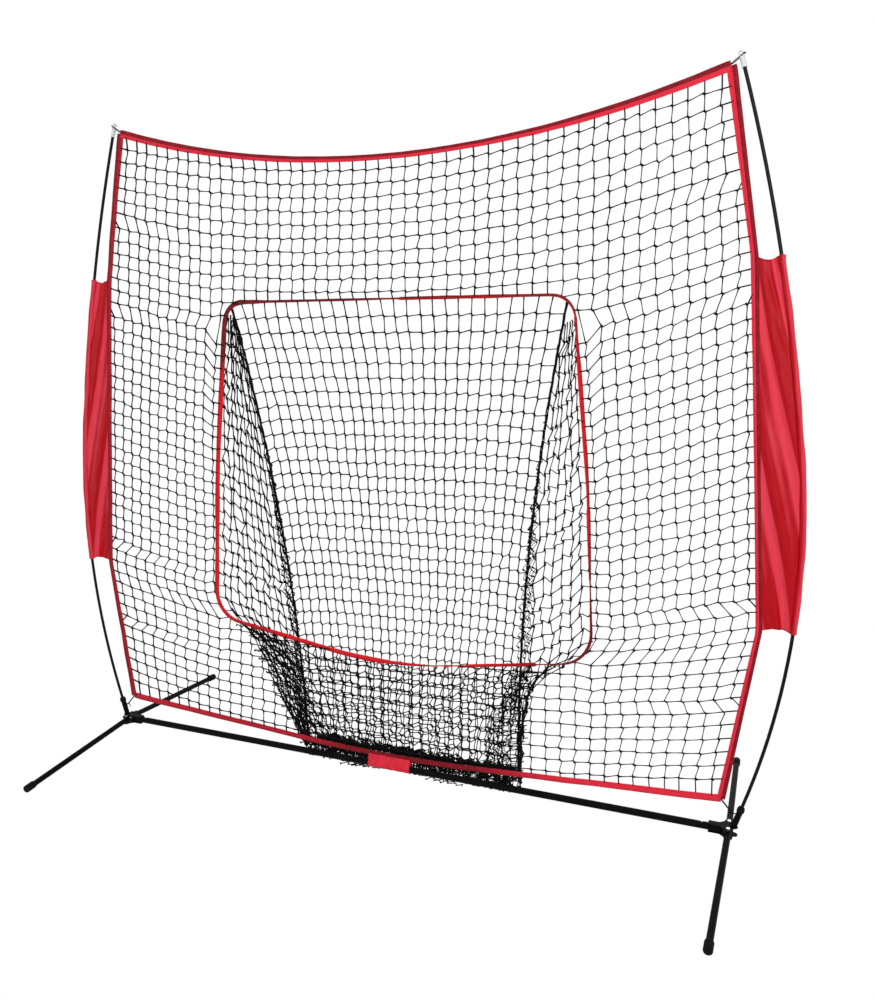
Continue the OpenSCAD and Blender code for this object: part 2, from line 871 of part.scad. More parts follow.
// A closed solid between two grids of points, front and back, of the same size. In
// a netted sheet, the cells with an odd row and an odd column are openings.
module between(front, back, netted = false) {
    m = len(front) - 1;
    n = len(front[0]) - 1;
    all = (m + 1) * (n + 1);
    function id(i, j) = i * (n + 1) + j;
    function open(i, j) = netted && i % 2 == 1 && j % 2 == 1;
    function wall(a, b) = [[a, a + all, b + all], [a, b + all, b]];
    cells = [for (i = [0:m - 1], j = [0:n - 1]) [i, j]];
    skins = [for (c = cells) if (!open(c[0], c[1])) let(
            p = id(c[0], c[1]),
            q = id(c[0] + 1, c[1]),
            r = q + 1,
            s = p + 1
        )
        each [[p, q, r], [p, r, s], [p + all, r + all, q + all], [p + all, s + all, r + all]]];
    long_rims = [for (i = [0:m - 1])
        each concat(wall(id(i, 0), id(i + 1, 0)), wall(id(i + 1, n), id(i, n)))];
    cross_rims = [for (j = [0:n - 1])
        each concat(wall(id(0, j + 1), id(0, j)), wall(id(m, j), id(m, j + 1)))];
    hole_rims = [for (c = cells) if (open(c[0], c[1])) let(
            p = id(c[0], c[1]),
            q = id(c[0] + 1, c[1]),
            r = q + 1,
            s = p + 1
        )
        each concat(wall(q, p), wall(s, r), wall(p, s), wall(r, q))];
    points = [for (grid = [front, back], row = grid) each row];
    polyhedron(points, concat(skins, long_rims, cross_rims, hole_rims), convexity = 10);
}

// Places from 0 to 1 of the edges of n + 1 cords of width w, with n openings between
function cord_edges(n, w) = [for (k = [0:n], e = [0, w]) k * (1 - w) / n + e];

function moved(grid, step) = [for (row = grid) [for (p = row) p + step]];

// ---- Pocket ----

// The back hangs from the opening's upper edge, between the seams
function back_x(v) = seam_x(v) - seam_r - 2 * gap;
function back_point(u, v) =
    let(top = (1 - pow(u, 6)) * pow(1 - v, 12))
    [
        u * back_x(v),
        seam_y(v) + swell_y(u, v) - pocket_t / 2 - top * (seam_r - pocket_t / 2),
        seam_z(v) + top * corner_in
    ];

module pocket_back() {
    front = [for (v = cord_edges(pocket_rows, cord_t / (pocket_top_z - pocket_low_z)))
        [for (s = cord_edges(pocket_columns, cord_t / 2 / back_x(v))) back_point(2 * s - 1, v)]];
    color([0.07, 0.07, 0.07])
        leaned()
            between(front, moved(front, [0, pocket_t, 0]), netted = true);
}

module pocket_seam() {
    sides = 6;
    rings = 16;
    points = [for (i = [0:rings], k = [0:sides - 1])
        let(v = i / rings, a = 360 * k / sides)
        [seam_x(v) + seam_r * cos(a), seam_y(v) + seam_r * sin(a), seam_z(v)]];
    walls = [for (i = [0:rings - 1], k = [0:sides - 1])
        let(b = i * sides, c = b + sides, l = (k + 1) % sides)
        each [[b + k, b + l, c + l], [b + k, c + l, c + k]]];
    ends = concat(
        [for (k = [1:sides - 2]) [0, k + 1, k]],
        [for (k = [1:sides - 2]) let(b = rings * sides) [b, b + k, b + k + 1]]
    );
    color([0.04, 0.04, 0.04])
        leaned()
            polyhedron(points, concat(walls, ends));
}

// The pocket's lip hangs behind the net from the opening's lower edge to the ground
lip_inset = 130;                                // of the lip's upper corners
lip_x0 = ring_bottom_w / 2 - lip_inset;
lip_low_z = on_floor(pocket_front_y + pocket_t);
function dip_z(x) = ring_dip_c[1] + (ring_low_z - ring_dip_c[1]) * abs(x) / (ring_bottom_w / 2);
lip_top_z = dip_z(0) + 26;
function lip_point(u, v) =
    let(
        x = u * (pocket_low_x + (lip_x0 - pocket_low_x) * pow(1 - v, 1.5)),
        top = max(dip_z(x), lip_top_z - 10) + ring_w / 2,
        z = top + (lip_low_z - top) * v
    )
    [x, ring_t / 2 + gap + (pocket_front_y - ring_t / 2 - gap) * pow(v, 0.7), z];

module pocket_front() {
    rows = round(pocket_rows / 4);
    front = [for (v = cord_edges(rows, cord_t / (lip_top_z - lip_low_z)))
        [for (s = cord_edges(pocket_columns, cord_t / 2 / pocket_low_x)) lip_point(2 * s - 1, v)]];
    color([0.07, 0.07, 0.07])
        leaned()
            between(front, moved(front, [0, pocket_t, 0]), netted = true);
}

module pocket_floor() {
    w = pocket_low_x + seam_r;
    y0 = pocket_front_y - 2;
    heap = 9;                                   // rise of the gathered netting
    function floor_point(u, v) =
        let(y = y0 + (pocket_depth + seam_r + swell_y(u, 1) - y0) * v)
        [u * w, y, floor_z + heap * sin(180 * v) * (0.6 + 0.4 * cos(900 * u)) * (1 - pow(u, 6))];
    under = [for (i = [0:4]) [for (j = [0:8]) floor_point(2 * j / 8 - 1, i / 4)]];
    color([0.06, 0.06, 0.06, 0.5])
        between(under, moved(under, [0, 0, pocket_t]));
}

// A side of the pocket runs from the opening's side back to the seam
function side_out(v) =
    let(
        w = min(1, v / 0.86),
        z = pocket_top_z + (ring_low_z + 20 - pocket_top_z) * w,
        x = ring_top_w / 2 + (ring_bottom_w - ring_top_w) / 2 * w + ring_bulge * sin(180 * w),
        corner = corner_in * pow(max(0, 1 - 12 * w), 2) + ring_low_r * pow(max(0, (w - 0.92) / 0.08), 2) / 2
    )
    [x - corner - 2, ring_t / 2 + gap, z];
function side_in(v) =
    let(w = min(1, v / 0.86), back = max(0, (v - 0.86) / 0.14))
    [
        seam_x(w) + seam_r + gap,
        seam_y(w) + (pocket_front_y - seam_y(w)) * back,
        seam_z(w)
    ];

module pocket_side() {
    columns = 2;
    share = 0.1;                                // of the narrow top that a cord takes at most
    inner = [for (s = cord_edges(pocket_rows, cord_t / (pocket_top_z - pocket_low_z)))
        let(v = 0.03 + 0.97 * s, a = side_in(v), b = side_out(v))
        [for (t = cord_edges(columns, min(share, cord_t / norm(b - a))))
            a + (b - a) * t + [0, 8 * sin(180 * t), 0]]];
    color([0.07, 0.07, 0.07])
        leaned()
            between(inner, moved(inner, [pocket_t * 0.8, pocket_t * 0.6, 0]), netted = true);
}

// ---- Side panels ----

sleeve_r = sleeve_id / 2;

function edge_x(z) =
    panel_low_c[0] + (panel_top_c[0] - panel_low_c[0]) * (z - panel_low_z) / (panel_top_z - panel_low_z);
function fold_y(t, s) =
    fold_depth * sin(180 * t) * (
        0.55 * sin(360 * (0.9 * t + 2.3 * s)) * (1 - 0.5 * s) +
        0.45 * sin(360 * (1.3 * t - 3.1 * s) + 40) * s
    );

module side_panel() {
    rows = 24;
    cols = 6;
    front = [for (i = [0:rows]) [for (j = [0:cols])
        let(
            s = i / rows,
            t = j / cols,
            z = panel_low_z + (panel_top_z - panel_low_z) * s,
            x0 = edge_x(z) + gap + 0.4,
            x1 = pole_x(z) - (sleeve_r + cloth_t) / cos(tip_a) - gap,
            pull = 10 * sin(180 * t) * (pow(1 - s, 24) - pow(s, 24))
        )
        [x0 + (x1 - x0) * t, fold_y(t, s) - cloth_t / 2, z + pull]]];
    color([0.85, 0.1, 0.2])
        leaned()
            between(front, moved(front, [0, cloth_t, 0]));
}

module sleeve_ring(d) {
    difference() {
        circle(sleeve_r + cloth_t - d);
        circle(sleeve_r + d);
    }
}

module pole_sleeve() {
    low_a = asin((lower_c[1] - panel_low_z) / bow_lower_r);
    top_a = asin((upper_c[1] - panel_top_z) / bow_upper_r);
    color([0.85, 0.1, 0.2])
        union() {
            leaned()
                bent(lower_c, bow_lower_r, low_a, ferrule_a)
                    sleeve_ring(0);
            on_pole(ferrule_p, ferrule_a)
                translate([0, 0, -weld])
                    linear_extrude(ferrule_len + 2 * weld)
                        sleeve_ring(seat_cut);
            leaned()
                bent(upper_c, bow_upper_r, ferrule_a, top_a)
                    sleeve_ring(0);
        }
}

// ---- Strap ----

// The strap's section: round the crossbar and up both faces of the net's binding
module strap_section(d) {
    r = bar_r + gap + d;
    half = binding_t / 2 + gap + d;
    rise = bar_r + bottom_gap + strap_lap;
    lean = asin(r / norm([half, rise])) - atan2(half, rise);
    polygon(concat([[-half, rise]], arc_points([0, 0], r, 180 - lean, 360 + lean, 28), [[half, rise]]));
}

module bar_strap() {
    color([0.81, 0.11, 0.2])
        leaned()
            translate([-strap_w / 2, 0, bar_height])
                rotate([90, 0, 90])
                    linear_extrude(strap_w)
                        difference() {
                            strap_section(strap_t);
                            strap_section(0);
                        }
}

crossbar_left();
crossbar_right();
at_button(bar_button_x, false) snap_button();  // bar_button
at_button(bar_button_x, false) leaf_spring();  // bar_spring
left_side() hub_bracket();  // hub_bracket_left
hub_bracket();  // hub_bracket_right
left_side() at_button(hub_button_x, true) snap_button();  // hub_button_left
at_button(hub_button_x, true) snap_button();  // hub_button_right
left_side() at_button(hub_button_x, true) leaf_spring();  // hub_spring_left
at_button(hub_button_x, true) leaf_spring();  // hub_spring_right
pivot_bolts();
pivot_nuts();
left_side() leg();  // leg_front_left
left_side() rear() leg();  // leg_rear_left
leg();  // leg_front_right
rear() leg();  // leg_rear_right
left_side() foot();  // foot_front_left
left_side() rear() foot();  // foot_rear_left
foot();  // foot_front_right
rear() foot();  // foot_rear_right
left_side() pole_socket();  // pole_socket_left
pole_socket();  // pole_socket_right
left_side() socket_collar();  // socket_collar_left
socket_collar();  // socket_collar_right
left_side() corner_hook();  // corner_hook_left
corner_hook();  // corner_hook_right
left_side() pole_lower();  // pole_lower_left
pole_lower();  // pole_lower_right
left_side() pole_upper();  // pole_upper_left
pole_upper();  // pole_upper_right
left_side() pole_ferrule();  // pole_ferrule_left
pole_ferrule();  // pole_ferrule_right
left_side() pole_cap();  // pole_cap_left
pole_cap();  // pole_cap_right
binding("top");  // binding_top
binding("bottom");  // binding_bottom
binding("left");  // binding_left
binding("right");  // binding_right
net("top");  // net_top
net("bottom");  // net_bottom
net("left");  // net_left
net("right");  // net_right
opening_binding();
pocket_back();
pocket_front();
pocket_floor();
left_side() pocket_side();  // pocket_side_left
pocket_side();  // pocket_side_right
left_side() pocket_seam();  // pocket_seam_left
pocket_seam();  // pocket_seam_right
left_side() side_panel();  // side_panel_left
side_panel();  // side_panel_right
left_side() pole_sleeve();  // pole_sleeve_left
pole_sleeve();  // pole_sleeve_right
left_side() upper_loop();  // upper_loop_left
upper_loop();  // upper_loop_right
left_side() lower_loop();  // lower_loop_left
lower_loop();  // lower_loop_right
bar_strap();
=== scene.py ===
"""Looks of the practice net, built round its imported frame. Everything is in metres."""
import json
import math

import bpy
import numpy as np
from mathutils import Matrix, Vector
from mathutils.bvhtree import BVHTree


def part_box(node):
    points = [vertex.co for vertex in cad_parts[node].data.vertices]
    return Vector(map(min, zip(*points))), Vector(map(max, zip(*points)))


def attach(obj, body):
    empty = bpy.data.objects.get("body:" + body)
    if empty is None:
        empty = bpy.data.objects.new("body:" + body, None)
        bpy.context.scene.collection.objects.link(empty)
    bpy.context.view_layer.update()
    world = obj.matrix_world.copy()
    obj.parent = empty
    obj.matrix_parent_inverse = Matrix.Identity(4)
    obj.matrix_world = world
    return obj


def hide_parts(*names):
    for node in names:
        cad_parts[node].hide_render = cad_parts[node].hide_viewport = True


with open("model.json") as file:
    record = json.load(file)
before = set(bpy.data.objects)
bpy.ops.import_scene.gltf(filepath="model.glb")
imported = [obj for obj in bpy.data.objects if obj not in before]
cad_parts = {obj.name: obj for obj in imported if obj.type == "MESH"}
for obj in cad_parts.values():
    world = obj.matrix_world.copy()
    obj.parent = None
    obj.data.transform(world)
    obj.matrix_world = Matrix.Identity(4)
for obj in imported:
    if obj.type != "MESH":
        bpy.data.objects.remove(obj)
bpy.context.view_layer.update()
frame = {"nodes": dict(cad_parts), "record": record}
nodes = frame["nodes"]

BODY = "frame_and_net"
SIDES = {"left": -1, "right": 1}
TURN = 2 * math.pi

# ---- The plane of the net, from the frame ----


def centre(node):
    low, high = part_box(node)
    return np.array((low + high) / 2)


BAR_Z = centre("crossbar_left")[2]
BAR_R = (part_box("crossbar_left")[1].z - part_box("crossbar_left")[0].z) / 2
CAP = centre("pole_cap_right")
LEAN = math.atan2(CAP[1], CAP[2] - BAR_Z)
NET_X = np.array([1.0, 0, 0])
UP = np.array([0, math.sin(LEAN), math.cos(LEAN)])
BACK = np.array([0, math.cos(LEAN), -math.sin(LEAN)])
FOOT = np.array([0, 0, BAR_Z])


def leaned(points):
    """Points given as (x, depth behind the net, height) in the net's own plane, in the row frame."""
    p = np.asarray(points, float)
    return FOOT + p[..., :1] * NET_X + p[..., 1:2] * BACK + (p[..., 2:3] - BAR_Z) * UP


def upright(points):
    """The inverse of leaned()."""
    p = np.asarray(points, float) - FOOT
    return np.stack([p[..., 0], p @ BACK, p @ UP + BAR_Z], -1)


def upright_points(node):
    return upright([v.co for v in nodes[node].data.vertices])


def unit(way):
    return way / np.linalg.norm(way, axis=-1, keepdims=True)


def resample(line, count):
    """count points at equal steps along a polyline, ends included."""
    line = np.asarray(line, float)
    run = np.r_[0, np.cumsum(np.linalg.norm(np.diff(line, axis=0), axis=1))]
    at = np.linspace(0, run[-1], count)
    return np.stack([np.interp(at, run, line[:, k]) for k in range(line.shape[1])], -1)


def read(line, at, by=2, give=0):
    """One coordinate of a line where another of them has the value at."""
    return np.interp(at, line[:, by], line[:, give])


def smooth_noise(count, step, size, seed):
    """A wandering value at count places, changing over about step places."""
    random = np.random.default_rng(seed)
    knots = random.normal(0, size, int(count / step) + 3)
    return np.interp(np.arange(count) / step, np.arange(len(knots)), knots)


def add_object(name, data):
    made = bpy.data.objects.new(name, data)
    bpy.context.scene.collection.objects.link(made)
    return made


# ---- Camera, light and stage ----

CAMERA_AT = Vector((1.217, -2.553, 1.515))
CAMERA_YAW = math.radians(21.98)
CAMERA_PITCH = math.radians(-11.0)
CAMERA_ROLL = math.radians(-0.62)
FOCAL_PIXELS = 893.9
PICTURE_HIGH = 1000
SENSOR = 36.0  # millimetres
FLOOR_REACH = 14
FLOOR_DROP = 0.0005


def add_camera():
    data = bpy.data.cameras.new("camera")
    data.sensor_width = SENSOR
    data.lens = FOCAL_PIXELS * SENSOR / PICTURE_HIGH
    camera = add_object("camera", data)
    place = Matrix.Translation(CAMERA_AT)
    for angle, axis in ((CAMERA_YAW, "Z"), (math.pi / 2 + CAMERA_PITCH, "X"), (CAMERA_ROLL, "Z")):
        place = place @ Matrix.Rotation(angle, 4, axis)
    camera.matrix_world = place
    bpy.context.scene.camera = camera


def add_lamp(name, at, look, size, power):
    data = bpy.data.lights.new(name, "AREA")
    data.size = size
    data.energy = power
    lamp = add_object(name, data)
    lamp.location = at
    lamp.rotation_euler = (Vector(look) - Vector(at)).to_track_quat("-Z", "Y").to_euler()


def seen_directly(tree):
    """1 where a ray comes from the camera, a reflection or the clear caps."""
    path = tree.nodes.new("ShaderNodeLightPath")
    seen = path.outputs["Is Camera Ray"]
    for kind in ("Is Glossy Ray", "Is Transmission Ray"):
        either = tree.nodes.new("ShaderNodeMath")
        either.operation = "MAXIMUM"
        tree.links.new(seen, either.inputs[0])
        tree.links.new(path.outputs[kind], either.inputs[1])
        seen = either.outputs[0]
    return seen


def show_white(owner, output, plain_kind, color, white_kind):
    """Gives a world or a material a plain colour, and white where it is seen directly."""
    owner.use_nodes = True
    tree = owner.node_tree
    tree.nodes.clear()
    plain, white = tree.nodes.new(plain_kind), tree.nodes.new(white_kind)
    plain.inputs["Color"].default_value = (*color, 1)
    white.inputs["Color"].default_value = (1, 1, 1, 1)
    white.inputs["Strength"].default_value = 1.0
    mix = tree.nodes.new("ShaderNodeMixShader")
    tree.links.new(seen_directly(tree), mix.inputs[0])
    tree.links.new(plain.outputs[0], mix.inputs[1])
    tree.links.new(white.outputs[0], mix.inputs[2])
    tree.links.new(mix.outputs[0], tree.nodes.new(output).inputs[0])
    return plain


def add_world():
    world = bpy.data.worlds.new("studio")
    bpy.context.scene.world = world
    light, output = "ShaderNodeBackground", "ShaderNodeOutputWorld"
    show_white(world, output, light, (0.93, 0.96, 1), light).inputs["Strength"].default_value = 0.42


def add_floor():
    mesh = bpy.data.meshes.new("floor")
    corners = [(x * FLOOR_REACH, y * FLOOR_REACH, 0) for x, y in ((-1, -1), (1, -1), (1, 1), (-1, 1))]
    mesh.from_pydata(corners, [], [(0, 1, 2, 3)])
    floor = add_object("floor", mesh)
    floor.location.z = -FLOOR_DROP
    material = bpy.data.materials.new("floor")
    show_white(
        material, "ShaderNodeOutputMaterial", "ShaderNodeBsdfDiffuse", (0.7, 0.7, 0.7), "ShaderNodeEmission"
    )
    mesh.materials.append(material)


bpy.context.scene.view_settings.view_transform = "Standard"
add_camera()
add_world()
add_floor()
add_lamp("key", (2.6, -4.2, 3.4), (0, 0, 1.0), 2.6, 150)
add_lamp("fill", (-3.4, -3.2, 2.2), (0, 0, 0.9), 3.0, 40)
add_lamp("rim", (0.5, 4.0, 3.6), (0, 0, 1.0), 3.0, 45)

# ---- Materials ----

WAVE_BANDS = 3.2  # bands to a metre of Blender's wave texture at scale 1


class Look:
    """A Principled material with its textures in object space, at real scale."""

    def __init__(self, name, color, roughness, **sockets):
        self.material = bpy.data.materials.new(name)
        self.material.use_nodes = True
        self.tree = self.material.node_tree
        self.shader = self.tree.nodes["Principled BSDF"]
        self.shader.inputs["Base Color"].default_value = (*color, 1)
        self.shader.inputs["Roughness"].default_value = roughness
        for socket, value in sockets.items():
            self.shader.inputs[socket.replace("_", " ")].default_value = value
        self.place = self.node("ShaderNodeTexCoord").outputs["Object"]
        self.height = None

    def node(self, kind, **values):
        made = self.tree.nodes.new(kind)
        for key, value in values.items():
            setattr(made, key, value)
        return made

    def link(self, a, b):
        self.tree.links.new(a, b)

    def noise(self, scale, detail=3.0, stretch=(1, 1, 1)):
        squeeze = self.node("ShaderNodeMapping")
        squeeze.inputs["Scale"].default_value = stretch
        self.link(self.place, squeeze.inputs["Vector"])
        made = self.node("ShaderNodeTexNoise")
        made.inputs["Scale"].default_value = scale
        made.inputs["Detail"].default_value = detail
        self.link(squeeze.outputs[0], made.inputs["Vector"])
        return made.outputs["Fac"]

    def wave(self, scale, direction):
        made = self.node("ShaderNodeTexWave", bands_direction=direction)
        made.inputs["Scale"].default_value = scale
        self.link(self.place, made.inputs["Vector"])
        return made.outputs["Fac"]

    def folded(self, value, share):
        """A value times share, plus the painted light mark of the fold that it lies on: painted shade on a
        webbing's outer fold, painted highlight along satin's crests.
        """
        made = self.node("ShaderNodeMath", operation="MULTIPLY_ADD")
        self.link(value, made.inputs[0])
        made.inputs[1].default_value = share
        mark = self.node("ShaderNodeAttribute", attribute_name="fold")
        self.link(mark.outputs["Fac"], made.inputs[2])
        return made.outputs[0]

    def color(self, value, low, high, at=(0.3, 0.7)):
        made = self.node("ShaderNodeValToRGB")
        for element, place, tone in zip(made.color_ramp.elements, at, (low, high)):
            element.position = place
            element.color = (*tone, 1)
        self.link(value, made.inputs[0])
        self.link(made.outputs[0], self.shader.inputs["Base Color"])

    def rough(self, value, low, high):
        made = self.node("ShaderNodeMapRange")
        made.inputs["To Min"].default_value = low
        made.inputs["To Max"].default_value = high
        self.link(value, made.inputs["Value"])
        self.link(made.outputs[0], self.shader.inputs["Roughness"])

    def bump(self, value, distance, strength=1.0):
        made = self.node("ShaderNodeBump")
        made.inputs["Distance"].default_value = distance
        made.inputs["Strength"].default_value = strength
        self.link(value, made.inputs["Height"])
        if self.height is not None:
            self.link(self.height, made.inputs["Normal"])
        self.height = made.outputs[0]
        self.link(self.height, self.shader.inputs["Normal"])

    def weave(self, pitch, depth):
        """Crossing threads, pitch metres apart."""
        bands = 1 / pitch / WAVE_BANDS
        over = self.node("ShaderNodeMath", operation="MULTIPLY")
        self.link(self.wave(bands, "DIAGONAL"), over.inputs[0])
        self.link(self.wave(bands, "Z"), over.inputs[1])
        self.bump(over.outputs[0], depth)


def mottled(name, color, roughness, grain, low, high, relief=None, gloss=None, **sockets):
    """A hard material whose colour wanders from low to high over a noise. relief is a noise and the depth
    of its bumps, and gloss a noise and the roughness that it wanders between."""
    look = Look(name, color, roughness, **sockets)
    look.color(look.noise(*grain), low, high)
    if gloss:
        look.rough(look.noise(*gloss[0]), *gloss[1:])
    if relief:
        look.bump(look.noise(*relief[0]), relief[1])
    return look.material


def zinc():
    return mottled(
        "zinc", (0.8, 0.81, 0.83), 0.3, (500, 4), (0.68, 0.69, 0.71), (0.9, 0.91, 0.93),
        gloss=((900, 2), 0.22, 0.42), Metallic=1.0,
    )


def cord_fibre(name, tone):
    return mottled(
        name, (tone,) * 3, 0.85, (220, 3), (tone * 0.5,) * 3, (tone * 1.8,) * 3, ((900, 3), 0.0003),
        Specular_IOR_Level=0.1,
    )


def webbing(name, dark, light, folded=True):
    """Woven tape. Where it is folded, its outer half, marked 0, is painted darker: painted shade where the
    fold turns away from the light.
    """
    look = Look(name, light, 0.6, Sheen_Weight=0.05, Sheen_Roughness=0.4, Specular_IOR_Level=0.2)
    shade, at = look.noise(55, 5), (0.25, 0.7)
    if folded:
        # Where folded, the fold mark adds painted shade on the outer half to the random tone.
        shade, at = look.folded(shade, 0.5), (0.2, 1.0)
    look.color(shade, dark, light, at)
    look.weave(0.0011, 0.00018)
    look.bump(look.noise(90, 3), 0.0008, 0.5)
    return look.material


def satin():
    """Satin. Its colour holds a painted highlight: it is painted paler along the crests of its folds,
    marked 1, where it catches the light.
    """
    look = Look(
        "satin", (0.6, 0.008, 0.03), 0.36, Sheen_Weight=0.03, Sheen_Roughness=0.3, Specular_IOR_Level=0.15
    )
    # Random tone plus the crest marks; the paler colour is the painted highlight along the crests.
    shade = look.folded(look.noise(9, 3, (2.6, 2.6, 0.4)), 0.45)
    look.color(shade, (0.47, 0.0001, 0.006), (0.76, 0.045, 0.075), (0.72, 1.0))
    look.rough(look.noise(30, 3), 0.3, 0.45)
    look.weave(0.0007, 0.00008)
    look.bump(look.noise(70, 4), 0.0009, 0.5)
    return look.material


LOOKS = {
    "powder_black": mottled(
        "powder_coat", (0.003, 0.003, 0.0035), 0.5, (60,), (0.0015, 0.0015, 0.002), (0.004, 0.004, 0.0045),
        ((1400, 2), 0.00006), ((240, 2), 0.42, 0.58), Specular_IOR_Level=0.04,
    ),
    "zinc": zinc(),
    "spring_steel": mottled(
        "spring_steel", (0.4, 0.41, 0.43), 0.32, (400, 3), (0.33, 0.34, 0.37), (0.48, 0.49, 0.51),
        ((1800, 1, (0.1, 1, 1)), 0.00002), Metallic=1.0,
    ),
    "rubber_black": mottled(
        "foot_rubber", (0.005, 0.005, 0.0055), 0.7, (150, 4), (0.003, 0.003, 0.0035), (0.010, 0.010, 0.011),
        ((1500, 3), 0.00012), Specular_IOR_Level=0.05,
    ),
    "collar_black": mottled(
        "collar_plastic", (0.004, 0.004, 0.0045), 0.5, (200, 2), (0.0025, 0.0025, 0.003),
        (0.008, 0.008, 0.0085), ((900, 2), 0.0001), Specular_IOR_Level=0.05,
    ),
    "fibreglass_black": mottled(
        "fibreglass", (0.004, 0.004, 0.0045), 0.22, (90, 3), (0.002, 0.002, 0.0025), (0.006, 0.006, 0.0065),
        ((1200, 1, (1, 1, 0.04)), 0.00003), Specular_IOR_Level=0.1,
    ),
    "ferrule_steel": zinc(),
    "cap_clear": mottled(
        "cap_plastic", (0.8, 0.79, 0.8), 0.26, (160, 3), (0.72, 0.71, 0.72), (0.86, 0.85, 0.86),
        ((500, 2), 0.00006), Transmission_Weight=0.12, IOR=1.45,
    ),
    # The dark colour of these two tapes is painted shade, on their outer folds and where the opening's tape
    # turns from the light.
    "binding_red": webbing("binding_red", (0.19, 0.0008, 0.006), (0.84, 0.022, 0.05)),
    "ring_red": webbing("ring_red", (0.09, 0.004, 0.004), (0.74, 0.006, 0.012)),
    "strap_red": webbing("strap_red", (0.66, 0.012, 0.03), (0.88, 0.03, 0.06), folded=False),
    "panel_red": satin(),
    "net_black": cord_fibre("net_black", 0.003),
    "elastic_black": cord_fibre("elastic_black", 0.005),
}

for part in frame["record"]["subparts"]:
    made = nodes[part["node"]]
    made.data.materials.clear()
    made.data.materials.append(LOOKS[part["material_slot"]])

# ---- Mesh helpers ----


def beside(line, across, closed=False):
    """Two unit directions at each point of a line: across it, from a rough direction, and out from both."""
    along = unit(np.roll(line, -1, 0) - np.roll(line, 1, 0) if closed else np.gradient(line, axis=0))
    side = unit(across - (across * along).sum(1)[:, None] * along)
    return side, np.cross(along, side)


def ring_faces(n, m, closed):
    """Faces that join n rings of m points, each to the next, and where closed the last to the first."""
    return [
        (i * m + k, i * m + (k + 1) % m, (i + 1) % n * m + (k + 1) % m, (i + 1) % n * m + k)
        for i in range(n if closed else n - 1) for k in range(m)
    ]


def circle(count):
    turn = np.linspace(0, TURN, count, endpoint=False)
    return np.stack([np.cos(turn), np.sin(turn)], -1)


class Shape:
    """Points and faces that are gathered into one mesh."""

    def __init__(self):
        self.points = []
        self.faces = []
        self.marks = []
        self.count = 0

    def add(self, points, faces, marks=0.0):
        base = self.count
        self.points.append(np.asarray(points, float))
        self.marks.append(np.broadcast_to(marks, len(points)))
        self.faces += [tuple(base + k for k in face) for face in faces]
        self.count += len(points)

    def sweep(self, line, section, across, closed=False, marks=0.0):
        """A section of (across, out) points, or one for each point of the line, carried along the
        line. across is a rough direction, or one for each point."""
        side, out = beside(line, across, closed)
        ring = line[:, None] + section[..., :1] * side[:, None] + section[..., 1:] * out[:, None]
        n, m = ring.shape[:2]
        faces = ring_faces(n, m, closed)
        if not closed:
            faces += [tuple(range(m))[::-1], tuple((n - 1) * m + k for k in range(m))]
        self.add(ring.reshape(-1, 3), faces, np.broadcast_to(marks, (n, m)).reshape(-1))

    def tube(self, line, radius, sides=5, closed=False):
        reach = np.ptp(line, axis=0) if closed else np.abs(line[-1] - line[0])
        axis = np.eye(3)[np.argmin(reach)]
        section = circle(sides) * np.broadcast_to(radius, len(line))[:, None, None]
        self.sweep(line, section, axis, closed)

    def piece(self, name, look, replaced=(), slot=None):
        mesh = bpy.data.meshes.new(name)
        mesh.from_pydata([tuple(p) for p in np.concatenate(self.points)], [], self.faces)
        mesh.validate()
        mesh.polygons.foreach_set("use_smooth", [True] * len(mesh.polygons))
        mesh.materials.append(LOOKS[look])
        piece = add_object(name, mesh)
        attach(piece, BODY)
        if replaced:
            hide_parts(*replaced)
        marks = np.concatenate(self.marks)
        # The fold attribute carries painted light: painted shade on tapes, painted highlight on satin
        if marks.any():
            mesh.attributes.new("fold", "FLOAT", "POINT").data.foreach_set("value", marks)
        return piece


def ball(rings=3, around=6):
    """A small closed ball of radius 1."""
    points = [(0, 0, 1)]
    for i in range(1, rings + 1):
        lat = math.pi * i / (rings + 1)
        points += [(math.sin(lat) * c, math.sin(lat) * s, math.cos(lat)) for c, s in circle(around)]
    points.append((0, 0, -1))
    last = len(points) - 1
    faces = [(0, 1 + k, 1 + (k + 1) % around) for k in range(around)]
    for i in range(rings - 1):
        a, b = 1 + i * around, 1 + (i + 1) * around
        faces += [(a + k, b + k, b + (k + 1) % around, a + (k + 1) % around) for k in range(around)]
    a = last - around
    faces += [(a + k, last, a + (k + 1) % around) for k in range(around)]
    return np.array(points), faces


BALL = ball()

# ---- Outlines of the net, probed from the CAD solids ----

FAR = 3.0
TRIM = 0.0008  # probes stay this far inside a node's ends
END_MARGIN = 0.012  # an upright node's edges are read no nearer to its ends than this


def probe_line(node, starts, way):
    """Where rays from each start first meet a CAD solid, as (x, depth, height). Misses are dropped."""
    mesh = nodes[node].data
    tree = BVHTree.FromPolygons([v.co for v in mesh.vertices], [p.vertices[:] for p in mesh.polygons])
    origins = leaned(starts)
    ways = leaned(np.asarray(starts, float) + way) - origins
    hits = [tree.ray_cast(Vector(a), Vector(b))[0] for a, b in zip(origins, ways)]
    return upright([hit for hit in hits if hit is not None])


def lowest_highest(node):
    """Least and greatest height of a node in the net's plane."""
    z = upright_points(node)[:, 2]
    return z.min(), z.max()


def crossing(node, axis, value):
    """Points where the edges of a node's mesh cross a plane of the net's own axes."""
    points = upright_points(node)
    ends = np.array([edge.vertices[:] for edge in nodes[node].data.edges])
    a, b = points[ends[:, 0]], points[ends[:, 1]]
    low, high = a[:, axis] - value, b[:, axis] - value
    hit = low * high < 0
    share = low[hit] / (low[hit] - high[hit])
    return a[hit] + (b[hit] - a[hit]) * share[:, None]


